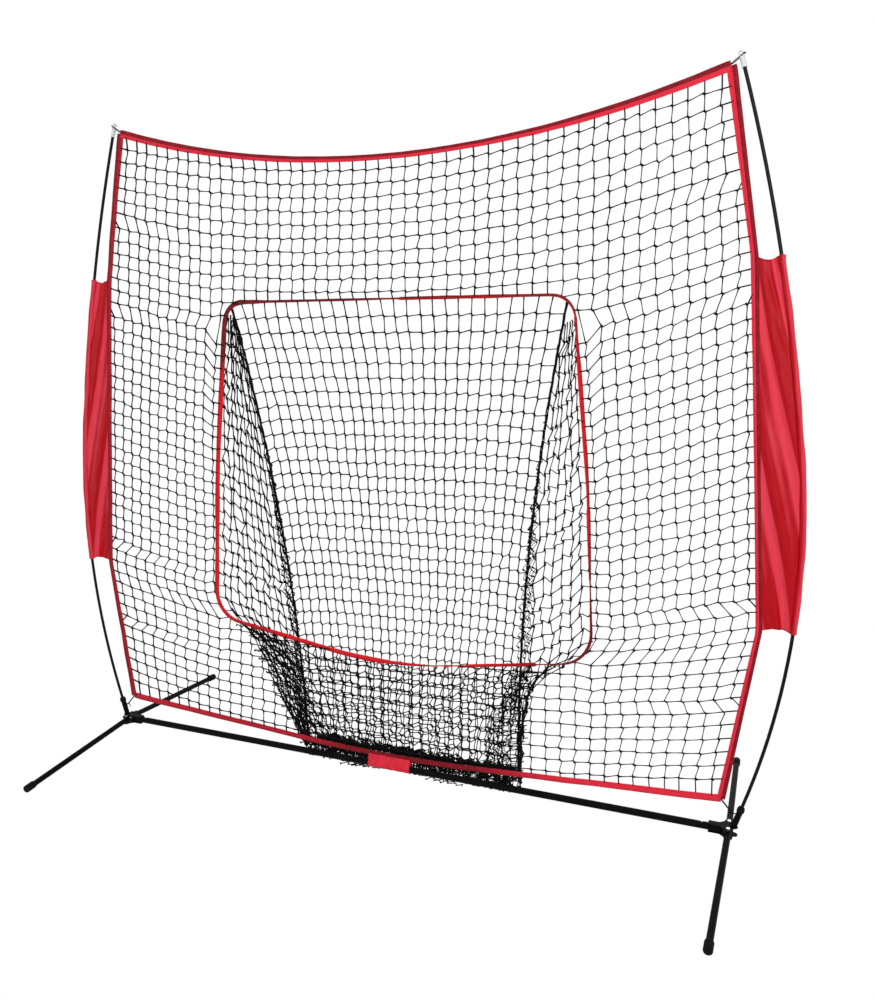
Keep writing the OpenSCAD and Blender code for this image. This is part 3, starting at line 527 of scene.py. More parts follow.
def side_lines(node, sign, count):
    """Inner and outer edges of an upright node, from its foot up, on its own side."""
    low, high = lowest_highest(node)
    levels = np.linspace(low, high, count)
    cuts = [sign * crossing(node, 2, z)[:, 0] for z in np.clip(levels, low + END_MARGIN, high - END_MARGIN)]
    return [
        np.stack([[sign * pick(x) for x in cuts], np.zeros(count), levels], -1) for pick in (np.min, np.max)
    ]


def corner(pick):
    """Outer corner of the net on its right-hand side, at its top or its foot."""
    points = upright_points("binding_right")
    return points[pick(points[:, 2])] * (1, 0, 1)


EDGE_LOW, EDGE_HIGH = lowest_highest("binding_right")
mirrored = np.array([-1.0, 1, 1])
top_corner, low_corner = corner(np.argmax), corner(np.argmin)
levels = np.linspace(EDGE_LOW + TRIM, EDGE_HIGH - TRIM, 80)
span = np.linspace(-1.06, 1.06, 121)
edge = probe_line("binding_right", [(FAR, 0, z) for z in levels], (-1, 0, 0))
top = probe_line("binding_top", [(x, 0, FAR) for x in span], (0, 0, -1))
low = probe_line("binding_bottom", [(x, 0, -1.0) for x in span], (0, 0, 1))
edge_outer = np.concatenate([[low_corner], edge, [top_corner]])
top_outer = np.concatenate([[top_corner * mirrored], top, [top_corner]])
low_outer = np.concatenate([[low_corner * mirrored], low, [low_corner]])
widest = edge_outer[np.argmax(edge_outer[:, 0]), 2]
BINDING_W = float(np.ptp(crossing("binding_right", 2, widest)[:, 0]))


def inner_corner(at, *lines):
    """Where the inner edges of the two bindings that leave a corner meet."""
    way, other_way = (unit(line[4] - line[0]) for line in lines)
    bisector = unit(way + other_way)
    return at + bisector * BINDING_W / abs(way[0] * bisector[2] - way[2] * bisector[0])


def inner_line(outer, start, end):
    """The inner edge of a binding whose inner corners are known."""
    along = np.gradient(outer, axis=0)
    normal = unit(np.stack([-along[:, 2], 0 * along[:, 0], along[:, 0]], -1))
    middle = np.array([0, 0, (EDGE_LOW + EDGE_HIGH) / 2])
    normal *= np.sign(((middle - outer) * normal).sum(1))[:, None]
    line = outer + normal * BINDING_W
    clear = np.linalg.norm(outer[:, None] - outer[[0, -1]], axis=-1).min(1) > 1.5 * BINDING_W
    return np.concatenate([[start], line[clear], [end]])


top_inside = inner_corner(top_corner, edge_outer[::-1], top_outer[::-1])
low_inside = inner_corner(low_corner, edge_outer, low_outer[::-1])
edge_inner = inner_line(edge_outer, low_inside, top_inside)
top_inner = inner_line(top_outer, top_inside * mirrored, top_inside)
low_inner = inner_line(low_outer, low_inside * mirrored, low_inside)


def edge_x(z):
    """Distance of the side bindings' inner edge from the middle."""
    return read(edge_inner, z)


def top_z(x):
    return read(top_inner, x, 0, 2)


def low_z(x):
    return read(low_inner, x, 0, 2)


RING_MID = 1.0
ring_turn = np.linspace(-math.pi, math.pi, 361)
ring_ways = np.stack([np.cos(ring_turn), 0 * ring_turn, np.sin(ring_turn)], -1)
ring_in = probe_line("opening_binding", 0 * ring_ways + (0, 0, RING_MID), ring_ways)
ring_out = probe_line("opening_binding", 2 * ring_ways + (0, 0, RING_MID), -ring_ways)
ring_mid = (ring_in + ring_out) / 2
ring_radius = np.hypot(ring_mid[:, 0], ring_mid[:, 2] - RING_MID)


def in_ring(x, z):
    turn = np.arctan2(z - RING_MID, x)
    return np.hypot(x, z - RING_MID) < np.interp(turn, ring_turn, ring_radius)


def ring_x(z):
    """Distance of the opening's side from the middle at a height."""
    return read(ring_mid[np.abs(ring_turn) < 1.1], z)


# ---- Netting: knotted cords ----

CELL = 0.0478
CORD_R = 0.0020
POCKET_CORD = 0.0022
KNOT_HALF = 0.0053
KNOT_R = 0.0034
SLANT = NET_X * 0.78 - UP * 0.62  # the long way of a knot
TAUT = 0.14  # how much thinner cords are drawn, for each metre to the right
LEAST_Z = 0.0004  # netting lies on the ground, not in it
SPAN_STEPS = np.array([0.09, 0.36, 0.64, 0.91])
SPAN_SIZES = np.array([1.15, 1.2, 0.82, 0.8])


def cords_through(knots, start_way, random, ends, bend):
    """The line of a cord through its knots. It leaves each knot on one side of the knot's slant and
    comes to the next on the other, with more bend where it has more to spare."""
    a, b = knots[:-1], knots[1:]
    chord = np.linalg.norm(b - a, axis=1)
    spare = np.clip(CELL - chord, 0, 0.02)
    size = bend * (0.0008 + 0.13 * np.sqrt(spare * chord)) * random.uniform(0.4, 1.4, len(a))
    line = a[:, None] + (b - a)[:, None] * SPAN_STEPS[None, :, None]
    line += (size[:, None] * np.cos(math.pi * SPAN_STEPS))[..., None] * start_way
    out = random.normal(0, 0.0011, (len(a), 1)) * np.sin(math.pi * SPAN_STEPS)
    line += out[..., None] * BACK
    first = knots[0] if ends[0] is None else ends[0]
    last = knots[-1] if ends[1] is None else ends[1]
    return np.concatenate([[first], line.reshape(-1, 3), [last]])


class Netting(Shape):
    """Cords and knots of one piece of net."""

    def __init__(self, seed, tie=1.0):
        super().__init__()
        self.random = np.random.default_rng(seed)
        self.tie = tie  # size of its knots

    def cord(self, knots, way, ends=(None, None), bend=1.0, radius=CORD_R):
        if len(knots) > 1:
            line = cords_through(np.asarray(knots), way, self.random, ends, bend)
        else:
            line = np.array([p for p in (ends[0], knots[0], ends[1]) if p is not None])
        if len(line) > 1:
            sizes = np.resize(SPAN_SIZES, len(line)) * (1 - TAUT * line[:, 0])
            self.tube(line, radius * sizes * self.random.uniform(0.9, 1.12))

    def knot(self, at, along, across):
        """A slanting knot: along is its long way, across the net."""
        size = self.random.uniform(0.8, 1.2) * self.tie
        tilt = self.random.normal(0, 0.25)
        long = along * math.cos(tilt) + np.cross(across, along) * math.sin(tilt)
        third = np.cross(long, across)
        axes = np.array([long * KNOT_HALF, third * KNOT_R, across * KNOT_R]) * size
        self.add(at + BALL[0] @ axes, BALL[1])

    def patch(self, places, bend, edged=False):
        """Cords a grid of places in space, [column, row], and ties its knots. Other pieces run along
        the edges of a patch that isn't edged, so they have no cords of their own."""
        n, m = places.shape[:2]
        skip = 0 if edged else 1
        radius = POCKET_CORD * math.sqrt(self.tie)
        for i in range(skip, n - skip):
            self.cord(places[i], NET_X, bend=bend, radius=radius)
        for j in range(skip, m - skip):
            self.cord(places[:, j], -UP, bend=bend, radius=radius)
        for at in places[1:-1, 1:-1].reshape(-1, 3):
            self.knot(at, SLANT, BACK)

    def piece(self, name, *replaced):
        self.points = [np.maximum(part, (-FAR, -FAR, LEAST_Z)) for part in self.points]
        super().piece(name, "net_black", replaced)


ROWS = 46
LAST_COLUMN = 24.5  # columns count from the middle, in halves
BESIDE = 13.5  # the column beside the opening
CORNER_ROW, CORNER_Z = 12, 1.548  # the row at the opening's upper corner, and its height there
LOWER_ROW, LOWER_Z = 37, 0.480  # the same under the opening
FIRST_GAP = 0.026  # from the top binding's inner edge to the first row of knots
LAST_GAP = 0.015  # from the last row of knots to the bottom binding's inner edge
UPPER_PITCH, LOWER_PITCH = 0.0410, 0.0403
OUTER_TOP, OUTER_PITCH = 2.122, 0.0429
HEM = 0.0015  # how far cords run into the bindings
# Rows between which the outermost column changes, with its number and its distance from the binding
EDGE_BANDS = (
    (1, 6, 22.5, 0.026, 0.038),
    (7, 13, 23.5, 0.018, 0.034),
    (14, 33, 24.5, 0.012, 0.018),
    (34, 40, 23.5, 0.020, 0.026),
    (41, 46, 22.5, 0.036, 0.028),
)


def band_of(row):
    return next(band for band in EDGE_BANDS if row <= band[1])


def outer_knot(row):
    """Where the outermost knot of a row lies, as x and height."""
    first, last, _, start, end = band_of(row)
    z = OUTER_TOP - OUTER_PITCH * (row - 1)
    return edge_x(z) - start - (end - start) * (row - first) / (last - first), z


def beside_knot(row):
    """Where the knot beside the opening lies."""
    if row <= CORNER_ROW:
        t = (row - 1) / (CORNER_ROW - 1)
        x = 0.600 + 0.011 * t
        start = top_z(x) - FIRST_GAP
        return x, start + (CORNER_Z - start) * t
    if row < LOWER_ROW:
        t = (row - CORNER_ROW) / (LOWER_ROW - CORNER_ROW)
        squeeze = 0.015 * max(0.0, t - 0.86) / 0.14
        z = CORNER_Z - (CORNER_Z - LOWER_Z) * t * (1.035 - 0.035 * t) + squeeze
        return ring_x(z) + 0.030 - 0.016 * t, z
    t = (row - LOWER_ROW) / (ROWS - LOWER_ROW)
    x = 0.629 + 0.012 * t
    return x, LOWER_Z + (low_z(x) + LAST_GAP - LOWER_Z) * t


def knot_place(column, row):
    """The place of a knot in the net's plane, as x and height."""
    c = abs(column)
    bx, bz = beside_knot(row)
    if c > BESIDE:
        ox, oz = outer_knot(row)
        t = (c - BESIDE) / (band_of(row)[2] - BESIDE)
        x = bx + (ox - bx) * t
        z = bz + (oz - bz) * (0.85 * t + 0.15 * t * t)
    else:
        x = bx * c / BESIDE
        if row <= CORNER_ROW:
            z = top_z(x) - FIRST_GAP - (row - 1) * (UPPER_PITCH + 0.0035 * (c / BESIDE) ** 2)
        else:
            z = low_z(x) + LAST_GAP + (ROWS - row) * LOWER_PITCH
    return math.copysign(x, column), z


def wave(x, z):
    """The net's gentle waves before and behind its plane."""
    pinned = np.clip((edge_x(z) - np.abs(x)) / 0.12, 0, 1) * np.clip((top_z(x) - z) / 0.12, 0, 1)
    pinned *= np.clip((z - low_z(x)) / 0.1, 0, 1)
    return pinned * 0.004 * (np.sin(9 * x + 3 * z) + np.sin(5.5 * z - 4 * x + 1))


def in_space(x, z):
    return leaned([x, wave(x, z), z])


def to_ring(inside, outside):
    """Where the line from a knot inside the opening to one outside crosses its binding."""
    a, b = np.array(inside), np.array(outside)
    for _ in range(18):
        half = (a + b) / 2
        a, b = (half, b) if in_ring(*half) else (a, half)
    return leaned([a[0], 0, a[1]])


def corded(net, places, way, first_end, last_end):
    """Cords a line of knots, leaving out what lies inside the opening."""
    run, start = [], first_end
    for k, place in enumerate(places):
        if in_ring(*place):
            if run:
                net.cord(run, way, (start, to_ring(place, places[k - 1])))
                run = []
            if k + 1 < len(places) and not in_ring(*places[k + 1]):
                start = to_ring(place, places[k + 1])
        else:
            run.append(in_space(*place))
    if run:
        net.cord(run, way, (start, last_end))


def make_net():
    net = Netting(11)
    place = {}
    for row in range(1, ROWS + 1):
        last = band_of(row)[2]
        for column in np.arange(-last, last + 1):
            place[column, row] = np.array(knot_place(column, row)) + net.random.normal(0, 0.0012, 2)
    for row in range(1, ROWS + 1):
        line = [at for (_, r), at in place.items() if r == row]
        ends = []
        for sign, (x, z) in ((-1, line[0]), (1, line[-1])):
            edge = edge_x(z) + HEM
            ends.append(leaned([sign * edge, 0, z + 0.25 * (edge - abs(x))]))
        corded(net, line, -UP, *ends)
    for column in np.arange(-LAST_COLUMN, LAST_COLUMN + 1):
        rows = [r for r in range(1, ROWS + 1) if (column, r) in place]
        line = [place[column, r] for r in rows]
        x, z = line[0]
        first = (x, 0, top_z(x) + HEM)
        if rows[0] > 1:
            first = (math.copysign(edge_x(z + 0.022) + HEM, column), 0, z + 0.026)
        x, z = line[-1]
        last = (x, 0, low_z(x) - HEM)
        if rows[-1] < ROWS:
            last = (math.copysign(edge_x(z - 0.018) + HEM, column), 0, z - 0.020)
        corded(net, line, NET_X, leaned(first), leaned(last))
    for x, z in place.values():
        if not in_ring(x, z):
            net.knot(in_space(x, z), SLANT, BACK)
    net.piece("main_net", "net_top", "net_bottom", "net_left", "net_right")


make_net()

# ---- The pocket ----


def depth_line(node, reach=0.07):
    """Depth of a node behind the net by height, near its middle."""
    points = upright_points(node)
    near = points[np.abs(points[:, 0]) < reach]
    near = near[np.argsort(near[:, 2])]
    return lambda z: read(near, z, 2, 1)


def spine(node, step=0.015):
    """Centre line of an upright tube, from its top, from the rings of its mesh."""
    points = upright_points(node)
    points = points[np.argsort(-points[:, 2])]
    parts = np.split(points, np.where(-np.diff(points[:, 2]) > step)[0] + 1)
    return np.array([part.mean(0) for part in parts])


seams = {side: spine("pocket_seam_" + side) for side in SIDES}
SEAM_LOW = seams["right"][-1, 2]
POCKET_ROWS = 34
POCKET_TOP = float(ring_mid[np.argmin(np.abs(ring_turn - math.pi / 2)), 2])
POCKET_FOOT = 0.03
SIDE_TOP = 1.56
SIDE_COLUMNS = {"left": 12, "right": 7}
LIP_REACH = 0.53  # half width of the lip under the opening
# Where a pocket side meets the ground: heights, and its outer and inner edges from the middle
GATHERS = {
    "left": np.array([
        (0.01, 0.340, 0.215), (0.07, 0.370, 0.240), (0.235, 0.465, 0.310), (0.332, 0.504, 0.365),
        (0.43, 0.551, 0.420), (0.47, 0.590, 0.450),
    ]),
    "right": np.array([
        (0.01, 0.440, 0.310), (0.08, 0.447, 0.330), (0.142, 0.452, 0.336), (0.235, 0.458, 0.345),
        (0.33, 0.474, 0.36), (0.40, 0.484, 0.39), (0.47, 0.533, 0.395),
    ]),
}
GATHER_TOP = 0.47
RING_FOOT = 0.53  # above it a pocket side hangs from the opening
# Layers of netting in a gather, columns in each, and how the columns crowd to its inner edge
FOLDS = {"left": (2, 5, 1.0), "right": (2, 3, 0.7)}
# Height and distance from the middle of the right gather's deepest fold, this far behind the net
FOLD_LINE = np.array([(0.05, 0.335), (0.142, 0.336), (0.235, 0.345), (0.329, 0.399), (0.404, 0.442)])
FOLD_DEPTH = 0.06


def seam_at(side, z):
    """The place of a seam at a height, or of its foot below that."""
    z = max(z, SEAM_LOW)
    line = seams[side][::-1]
    return np.array([read(line, z), read(line, z, 2, 1), z])


def on_ground(points):
    """Points with none lower than the ground."""
    space = leaned(points)
    space[..., 2] = np.maximum(space[..., 2], 0.003)
    return space


def grid_of(columns, rows, place):
    """Places, [column, row], from a function of a column's and a row's number."""
    return np.array([[place(i, j) for j in range(rows + 1)] for i in range(columns + 1)])


def make_back():
    """The pocket's back. Its rows hang a little in the middle and drop towards the seams."""
    net = Netting(21)
    depth = depth_line("pocket_back")
    columns = 27

    def place(i, j):
        u, v = 2 * i / columns - 1, j / POCKET_ROWS
        sag = 0.012 * (1 - u * u) * math.sin(math.pi * v)
        drop = 0.020 * u ** 6 * min(1, 4 * v)
        z = POCKET_TOP + (POCKET_FOOT - POCKET_TOP) * v ** 0.97 - sag - drop
        left, right = seam_at("left", z), seam_at("right", z)
        x, y = ((left + right) / 2 + (right - left) / 2 * u)[:2]
        x += 0.006 * math.sin(12 * v + 3 * u) * (1 - u * u)
        return x, y + (depth(z) - left[1]) * (1 - u * u), z

    grid = grid_of(columns, POCKET_ROWS, place)
    grid += net.random.normal(0, 0.0016, grid.shape) * (1, 1.5, 1)
    net.patch(on_ground(grid), 1.0)
    net.piece("pocket_back_net", "pocket_back")


def side_edge(side, z):
    """The front edge of a pocket side: the opening's side, and below it the gather's outer edge."""
    heights, outers, _ = GATHERS[side].T
    wide = np.interp(z, np.append(heights, RING_FOOT), np.append(outers, ring_x(RING_FOOT)))
    if z > RING_FOOT:
        wide = ring_x(z)
    return np.array([SIDES[side] * wide, 0.004 + 0.05 * max(0, 1 - z / GATHER_TOP), z])


def make_side(side, sign):
    """A pocket side. Its rows run down from the opening's edge to the seam."""
    net = Netting(31 + sign)
    columns = SIDE_COLUMNS[side]

    def place(i, j):
        t, v = i / columns, j / POCKET_ROWS
        z = SIDE_TOP + (POCKET_FOOT - SIDE_TOP) * v
        drop = 0.03 + 0.12 * min(1, 2 * v)
        front, rear = side_edge(side, z), seam_at(side, z - drop)
        x, y = (front + (rear - front) * t)[:2]
        bow = math.sin(math.pi * t)
        return x, y + 0.010 * bow, z - drop * t ** 1.1 - 0.012 * bow * (1 + sign)

    grid = grid_of(columns, POCKET_ROWS, place)
    grid[..., 2] = np.maximum(grid[..., 2], 0.012)
    zigzag = np.where(np.arange(columns + 1) % 2, 0.006, -0.006)[:, None]
    grid[..., 2] += zigzag * net.random.uniform(0.3, 1.3, grid.shape[:2])
    grid += net.random.normal(0, 0.0032, grid.shape)
    net.patch(on_ground(grid if sign > 0 else grid[::-1]), 1.5)
    net.piece("pocket_side_net_" + side, "pocket_side_" + side)


def lip_top(x):
    """Height of the opening's lower edge."""
    return read(ring_mid[np.abs(ring_turn + math.pi / 2) < 1.0], x, 0, 2)


def make_lip():
    """The front of the pocket, from the opening's lower edge to the ground behind the bar."""
    net = Netting(41)
    depth = depth_line("pocket_front")
    columns, rows = 26, 11

    def place(i, j):
        u, v = 2 * i / columns - 1, j / rows
        top = lip_top(LIP_REACH * u)
        z = top + (0.02 - top) * v
        edge = abs(side_edge("left" if u < 0 else "right", z)[0])
        wide = min(edge, LIP_REACH) if j else LIP_REACH
        return u * wide, depth(z) + 0.01 * math.sin(7 * u + 5 * v) ** 2, z

    grid = grid_of(columns, rows, place)
    grid += net.random.normal(0, 0.0035, grid.shape)
    net.patch(on_ground(grid), 1.5)
    net.piece("pocket_lip_net", "pocket_front")


def make_bunch(side, sign):
    """Where a pocket side meets the ground its netting lies gathered, fold on fold."""
    net = Netting(61 + sign, 0.5)
    heights, outers, inners = GATHERS[side].T
    layers, columns, crowd = FOLDS[side]
    rows = 15
    for layer in range(layers):
        shift = net.random.uniform(-0.5, 0.5)

        def place(i, j):
            t, v = i / columns, (j + shift) / rows
            z = GATHER_TOP - (GATHER_TOP - 0.015) * v
            outer, inner = np.interp(z, heights, outers), np.interp(z, heights, inners)
            fold = 0.010 * math.sin(2.2 * i + 1.3 * layer + 2.5 * v)
            x = outer + (inner - outer) * t ** crowd + fold * t
            y = 0.03 + (0.015 + 0.08 * v) * (layer + 0.5) / layers + 0.02 * t
            return sign * x + (0.004 if (i + j) % 2 else -0.004), y, z - 0.05 * t

        grid = grid_of(columns, rows, place)
        grid += net.random.normal(0, 0.0045, grid.shape)
        net.patch(on_ground(grid), 1.6)
    net.piece("pocket_gather_" + side)


def make_heap():
    """The pocket's floor: netting that lies in loose folds on the ground behind the crossbar."""
    net = Netting(51, 0.8)
    low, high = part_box("pocket_floor")
    columns, rows, layers = 30, 5, 6
    start_x, start_y = low.x + 0.065, max(low.y, 0.052)
    for layer in range(layers):
        lift = smooth_noise(columns + 1, 3, 1.0, 60 + layer)
        push = smooth_noise(columns + 1, 4, 1.0, 90 + layer)

        def place(i, j):
            u, v = i / columns, j / rows
            arch = math.sin(math.pi * v)
            return (
                start_x + (high.x - start_x) * (0.01 + 0.98 * u) + 0.012 * math.sin(9 * v + layer),
                start_y + (high.y - start_y) * (0.02 + 0.95 * v) + 0.008 * push[i] * arch,
                0.004 + (0.008 * layer + 0.010 * (1 + 0.5 * lift[i])) * arch,
            )

        grid = grid_of(columns, rows, place)
        grid += net.random.normal(0, 0.0045, grid.shape)
        grid[..., 2] = np.maximum(grid[..., 2], 0.0025)
        net.patch(grid, 1.6, edged=True)
    steps = np.arange(5)
    for start in (-0.20, -0.17, 0.12, 0.15):
        line = np.stack([start + 0.026 * steps, 0.030 + 0.014 * (steps % 2), 0.0035 + 0 * steps], -1)
        net.cord(line + net.random.normal(0, 0.004, line.shape) * (1, 1, 0), -BACK, bend=2.0)
    net.piece("pocket_floor_net", "pocket_floor")


def strand_at(side, z):
    """Where loose strands run: beside the seam, and on the right they leave it for the deepest fold."""
    at = seam_at(side, z)
    if side == "right":
        fold = np.array([np.interp(z, *FOLD_LINE.T), FOLD_DEPTH, z])
        at = at + (fold - at) * np.clip((0.47 - z) / 0.07, 0, 1)
    return at


def make_seam(side, sign):
    """A bunched seam: cords laid together down the pocket's corner, with a knot at every row."""
    net = Netting(71 + sign)
    line = resample(seams[side], 150)
    count = len(line)
    run = np.linspace(0, 1, count)
    for k in range(3):
        turn = TURN * (9 * run + k / 3)
        reach = 0.0021 + 0.0011 * np.abs(smooth_noise(count, 4, 1, 70 + 3 * sign + k))
        bent = line + np.stack([reach * np.cos(turn), reach * np.sin(turn), 0 * turn], -1)
        net.tube(on_ground(bent), 0.0017 + 0.0004 * np.abs(smooth_noise(count, 5, 1, 80 + k)), 6)
    for place in resample(seams[side], 37)[1:-1]:
        at = leaned(place + net.random.normal(0, 0.0012, 3))
        net.knot(at, net.random.choice([-1, 1]) * NET_X * 0.5 - UP * 0.87, BACK)
        net.knot(at + UP * 0.004, UP, BACK)
    strands, steps = 5, 34
    for k in range(strands):
        z = np.linspace(1.15 - 0.04 * k, 0.05, steps)
        spread = np.interp(z, [0.3, 0.6, 1.15], [0.026, 0.024, 0.002])
        zig = np.where((np.arange(steps) + k) % 2, 0.003, -0.003)
        places = np.array([strand_at(side, h) for h in z])
        places[:, 0] += sign * spread * ((k + 0.5) / strands * 1.7 - 0.5) + zig
        places[:, 1] -= 0.4 * spread * net.random.uniform(0, 1, steps)
        places[:, 2] = z
        places = on_ground(places + net.random.normal(0, 0.0022, places.shape))
        net.cord(places, NET_X, bend=1.5, radius=0.0015)
        for at in places[1:-1]:
            net.knot(at, SLANT, BACK)
    net.piece("pocket_seam_cord_" + side, "pocket_seam_" + side)


make_back()
make_lip()
make_heap()
for side, sign in SIDES.items():
    make_side(side, sign)
    make_bunch(side, sign)
    make_seam(side, sign)

# ---- Bindings, opening, panels and strap ----

WEB_T = 0.0036
RING_T = 0.0030
STRAP_T = 0.0014
PANEL_T = 0.0011
SLEEVE_T = 0.0009
SEWN_IN = 0.003  # what the binding and the sleeve take in of the panel's edges
STITCH_PITCH = 0.0065
STITCH_R = 0.00032
STITCH_RISE = 0.0003
# A folded webbing's upper side from its inner edge out: place across, rise and painted brightness, with
# painted shade on the outer fold
WEB_PROFILE = np.array([
    (-1, 0.5, 1), (-0.75, 0.8, 1), (-0.08, 0.75, 0.9), (0.02, 1.1, 0), (0.5, 1.3, 0), (0.9, 0.9, 0.1),
])
# Painted shade of a folded webbing at each point of its section
WEB_PAINTED_SHADE = np.concatenate([WEB_PROFILE[:, 2], [0.1], WEB_PROFILE[::-1, 2]])
# Painted shade by place across the net: the left binding, the top's left half and the bottom's middle are
# painted darker
EVEN_PAINTED_LIGHT = ((0, 1), (0, 1))
LEFT_PAINTED_SHADE = ((-1, 0.25), (1, 0.25))
TOP_PAINTED_SHADE = ((-1, 0.7), (1, 1))
LOW_PAINTED_SHADE = ((-1.1, 0.5), (-0.3, 0.3), (-0.15, 0), (0.3, 0), (0.5, 0.6), (0.7, 1), (1.1, 1))
# The opening's tape, round from its left: degrees, half width, turn about its own line, painted brightness,
# with painted shade where the tape turns away from the light
RING_LOOK = np.array([
    (-180, 0.009, 0, 1), (-147, 0.0085, 0, 1), (-136, 0.0075, 0.5, 0.6), (-126, 0.0084, 0, 1),
    (-96, 0.0082, 0, 1), (-82, 0.0055, 0.9, 0.9), (-60, 0.005, 1, 0.8), (-44, 0.006, 0.9, 0.1),
    (-34, 0.0055, 0.6, 0.1), (-26, 0.004, 1.2, 0.1), (-15, 0.0045, 1.1, 0.3), (-4, 0.0055, 0.7, 0.7),
    (8, 0.0055, 0.8, 0.7), (15, 0.0068, 0, 1), (32, 0.0068, 0, 1), (38, 0.0045, 1, 0.6),
    (47, 0.0055, 0.7, 0.2), (60, 0.006, 0.4, 0.3), (88, 0.0058, 0.6, 0.2), (97, 0.0045, 1.1, 0.1),
    (126, 0.005, 0.8, 0.05), (132, 0.01, 0, 0), (146, 0.01, 0, 0.05), (152, 0.009, 0, 1),
    (180, 0.009, 0, 1),
])


def web_section(half, thick, roll=0.0):
    """A folded webbing's section: a fuller fold on its outer side, a flat sewn lap on its inner."""
    side = WEB_PROFILE[:, :2] * (half, thick / 2) + np.outer(WEB_PROFILE[:, 1] > 1, (0, roll))
    return np.concatenate([side, [(half, 0)], side[::-1] * (1, -1)])


def stitch(made, line, across, offset, out):
    """A row of stitches beside a line."""
    count = int(np.linalg.norm(np.diff(line, axis=0), axis=1).sum() / STITCH_PITCH)
    path = resample(line, 2 * count + 1)
    side, normal = beside(path, resample(across, 2 * count + 1))
    at = path + offset * side + out * normal
    for k in range(0, 2 * count, 2):
        mid = (at[k] + at[k + 1]) / 2 + STITCH_RISE * np.sign(out) * normal[k]
        made.tube(np.array([at[k], mid, at[k + 1]]), STITCH_R, 4)


def bind(name, outer, inner, node, seed, painted_shades=EVEN_PAINTED_LIGHT, least_painted_light=0.0):
    """Webbing folded over the net's edge, between its outer and inner lines. Its painted shade comes from
    the shades by place across the net, and least is the least painted brightness of its outer fold."""
    made = Shape()
    count = 220
    outer, inner = resample(outer, count), resample(inner, count)
    middle = (outer + inner) / 2
    middle[:, 1] += smooth_noise(count, 9, 0.0009, seed)
    line = leaned(middle)
    across = leaned(outer) - leaned(inner)
    wide = np.linalg.norm(outer - inner, axis=1) / 2 * (1 + smooth_noise(count, 5, 0.02, seed + 1))
    roll = smooth_noise(count, 7, 0.0003, seed + 2)
    section = np.stack([web_section(w, WEB_T, r) for w, r in zip(wide, roll)])
    # Painted shade: each point's fold mark, scaled by the painted brightness at its place across the net
    painted_level = np.interp(line[:, 0], *np.transpose(painted_shades))[:, None]
    made.sweep(line, section, across, marks=np.maximum(WEB_PAINTED_SHADE, least_painted_light) * painted_level)
    for out in (-1, 1):
        stitch(made, line, across, -0.0055, out * WEB_T * 0.44)
    made.piece(name, "binding_red", (node,))


def make_ring():
    """The opening's binding: a flat tape that turns over along its way."""
    made = Shape()
    count = 520
    line = resample(ring_mid, count + 1)[:-1]
    across = resample(ring_out - ring_in, count + 1)[:-1]
    turn = np.degrees(np.arctan2(line[:, 2] - RING_MID, line[:, 0]))
    wide, twist, shade = (np.interp(turn, RING_LOOK[:, 0], RING_LOOK[:, k]) for k in (1, 2, 3))
    ends = np.clip(np.minimum(np.arange(count), np.arange(count)[::-1]) / 20, 0, 1)
    wander = smooth_noise(count, 9, 0.35, 101) * ends
    twist = twist * np.sign(np.sin(turn / 7) + 0.3) * 0.6 + twist * 0.4 + wander * (0.3 + twist)
    wide = wide * (1 + 0.08 * smooth_noise(count, 8, 1, 102) * ends)
    section = web_section(1, 1) * np.stack([wide, np.full(count, RING_T)], -1)[:, None]
    cos, sin = np.cos(twist)[:, None], np.sin(twist)[:, None]
    a, b = section[..., 0], section[..., 1]
    turned = np.stack([a * cos - b * sin, a * sin + b * cos], -1)
    # Painted shade: darker where the tape turns away from the light, and on its outer fold
    marks = shade[:, None] * np.maximum(WEB_PAINTED_SHADE, 0.55)
    made.sweep(leaned(line), turned, leaned(across) - leaned((0, 0, 0)), closed=True, marks=marks)
    made.piece("opening_tape", "ring_red", ("opening_binding",), slot="binding_red")


def cloth(points, thick):
    """Points and faces of a thin closed sheet over a grid of places in space."""
    n, m = points.shape[:2]
    normal = unit(np.cross(np.gradient(points, axis=0), np.gradient(points, axis=1)))
    both = np.concatenate([points + normal * thick / 2, points - normal * thick / 2]).reshape(-1, 3)
    rear = n * m
    faces = []
    for i in range(n - 1):
        for a in range(i * m, i * m + m - 1):
            faces.append((a, a + m, a + m + 1, a + 1))
            faces.append((rear + a + 1, rear + a + m + 1, rear + a + m, rear + a))
    index = np.arange(rear).reshape(n, m)
    rim = np.concatenate([index[:, 0], index[-1, 1:], index[-2::-1, -1], index[0, -2:0:-1]]).tolist()
    faces += [(b, a, rear + a, rear + b) for a, b in zip(rim, rim[1:] + rim[:1])]
    return both, faces


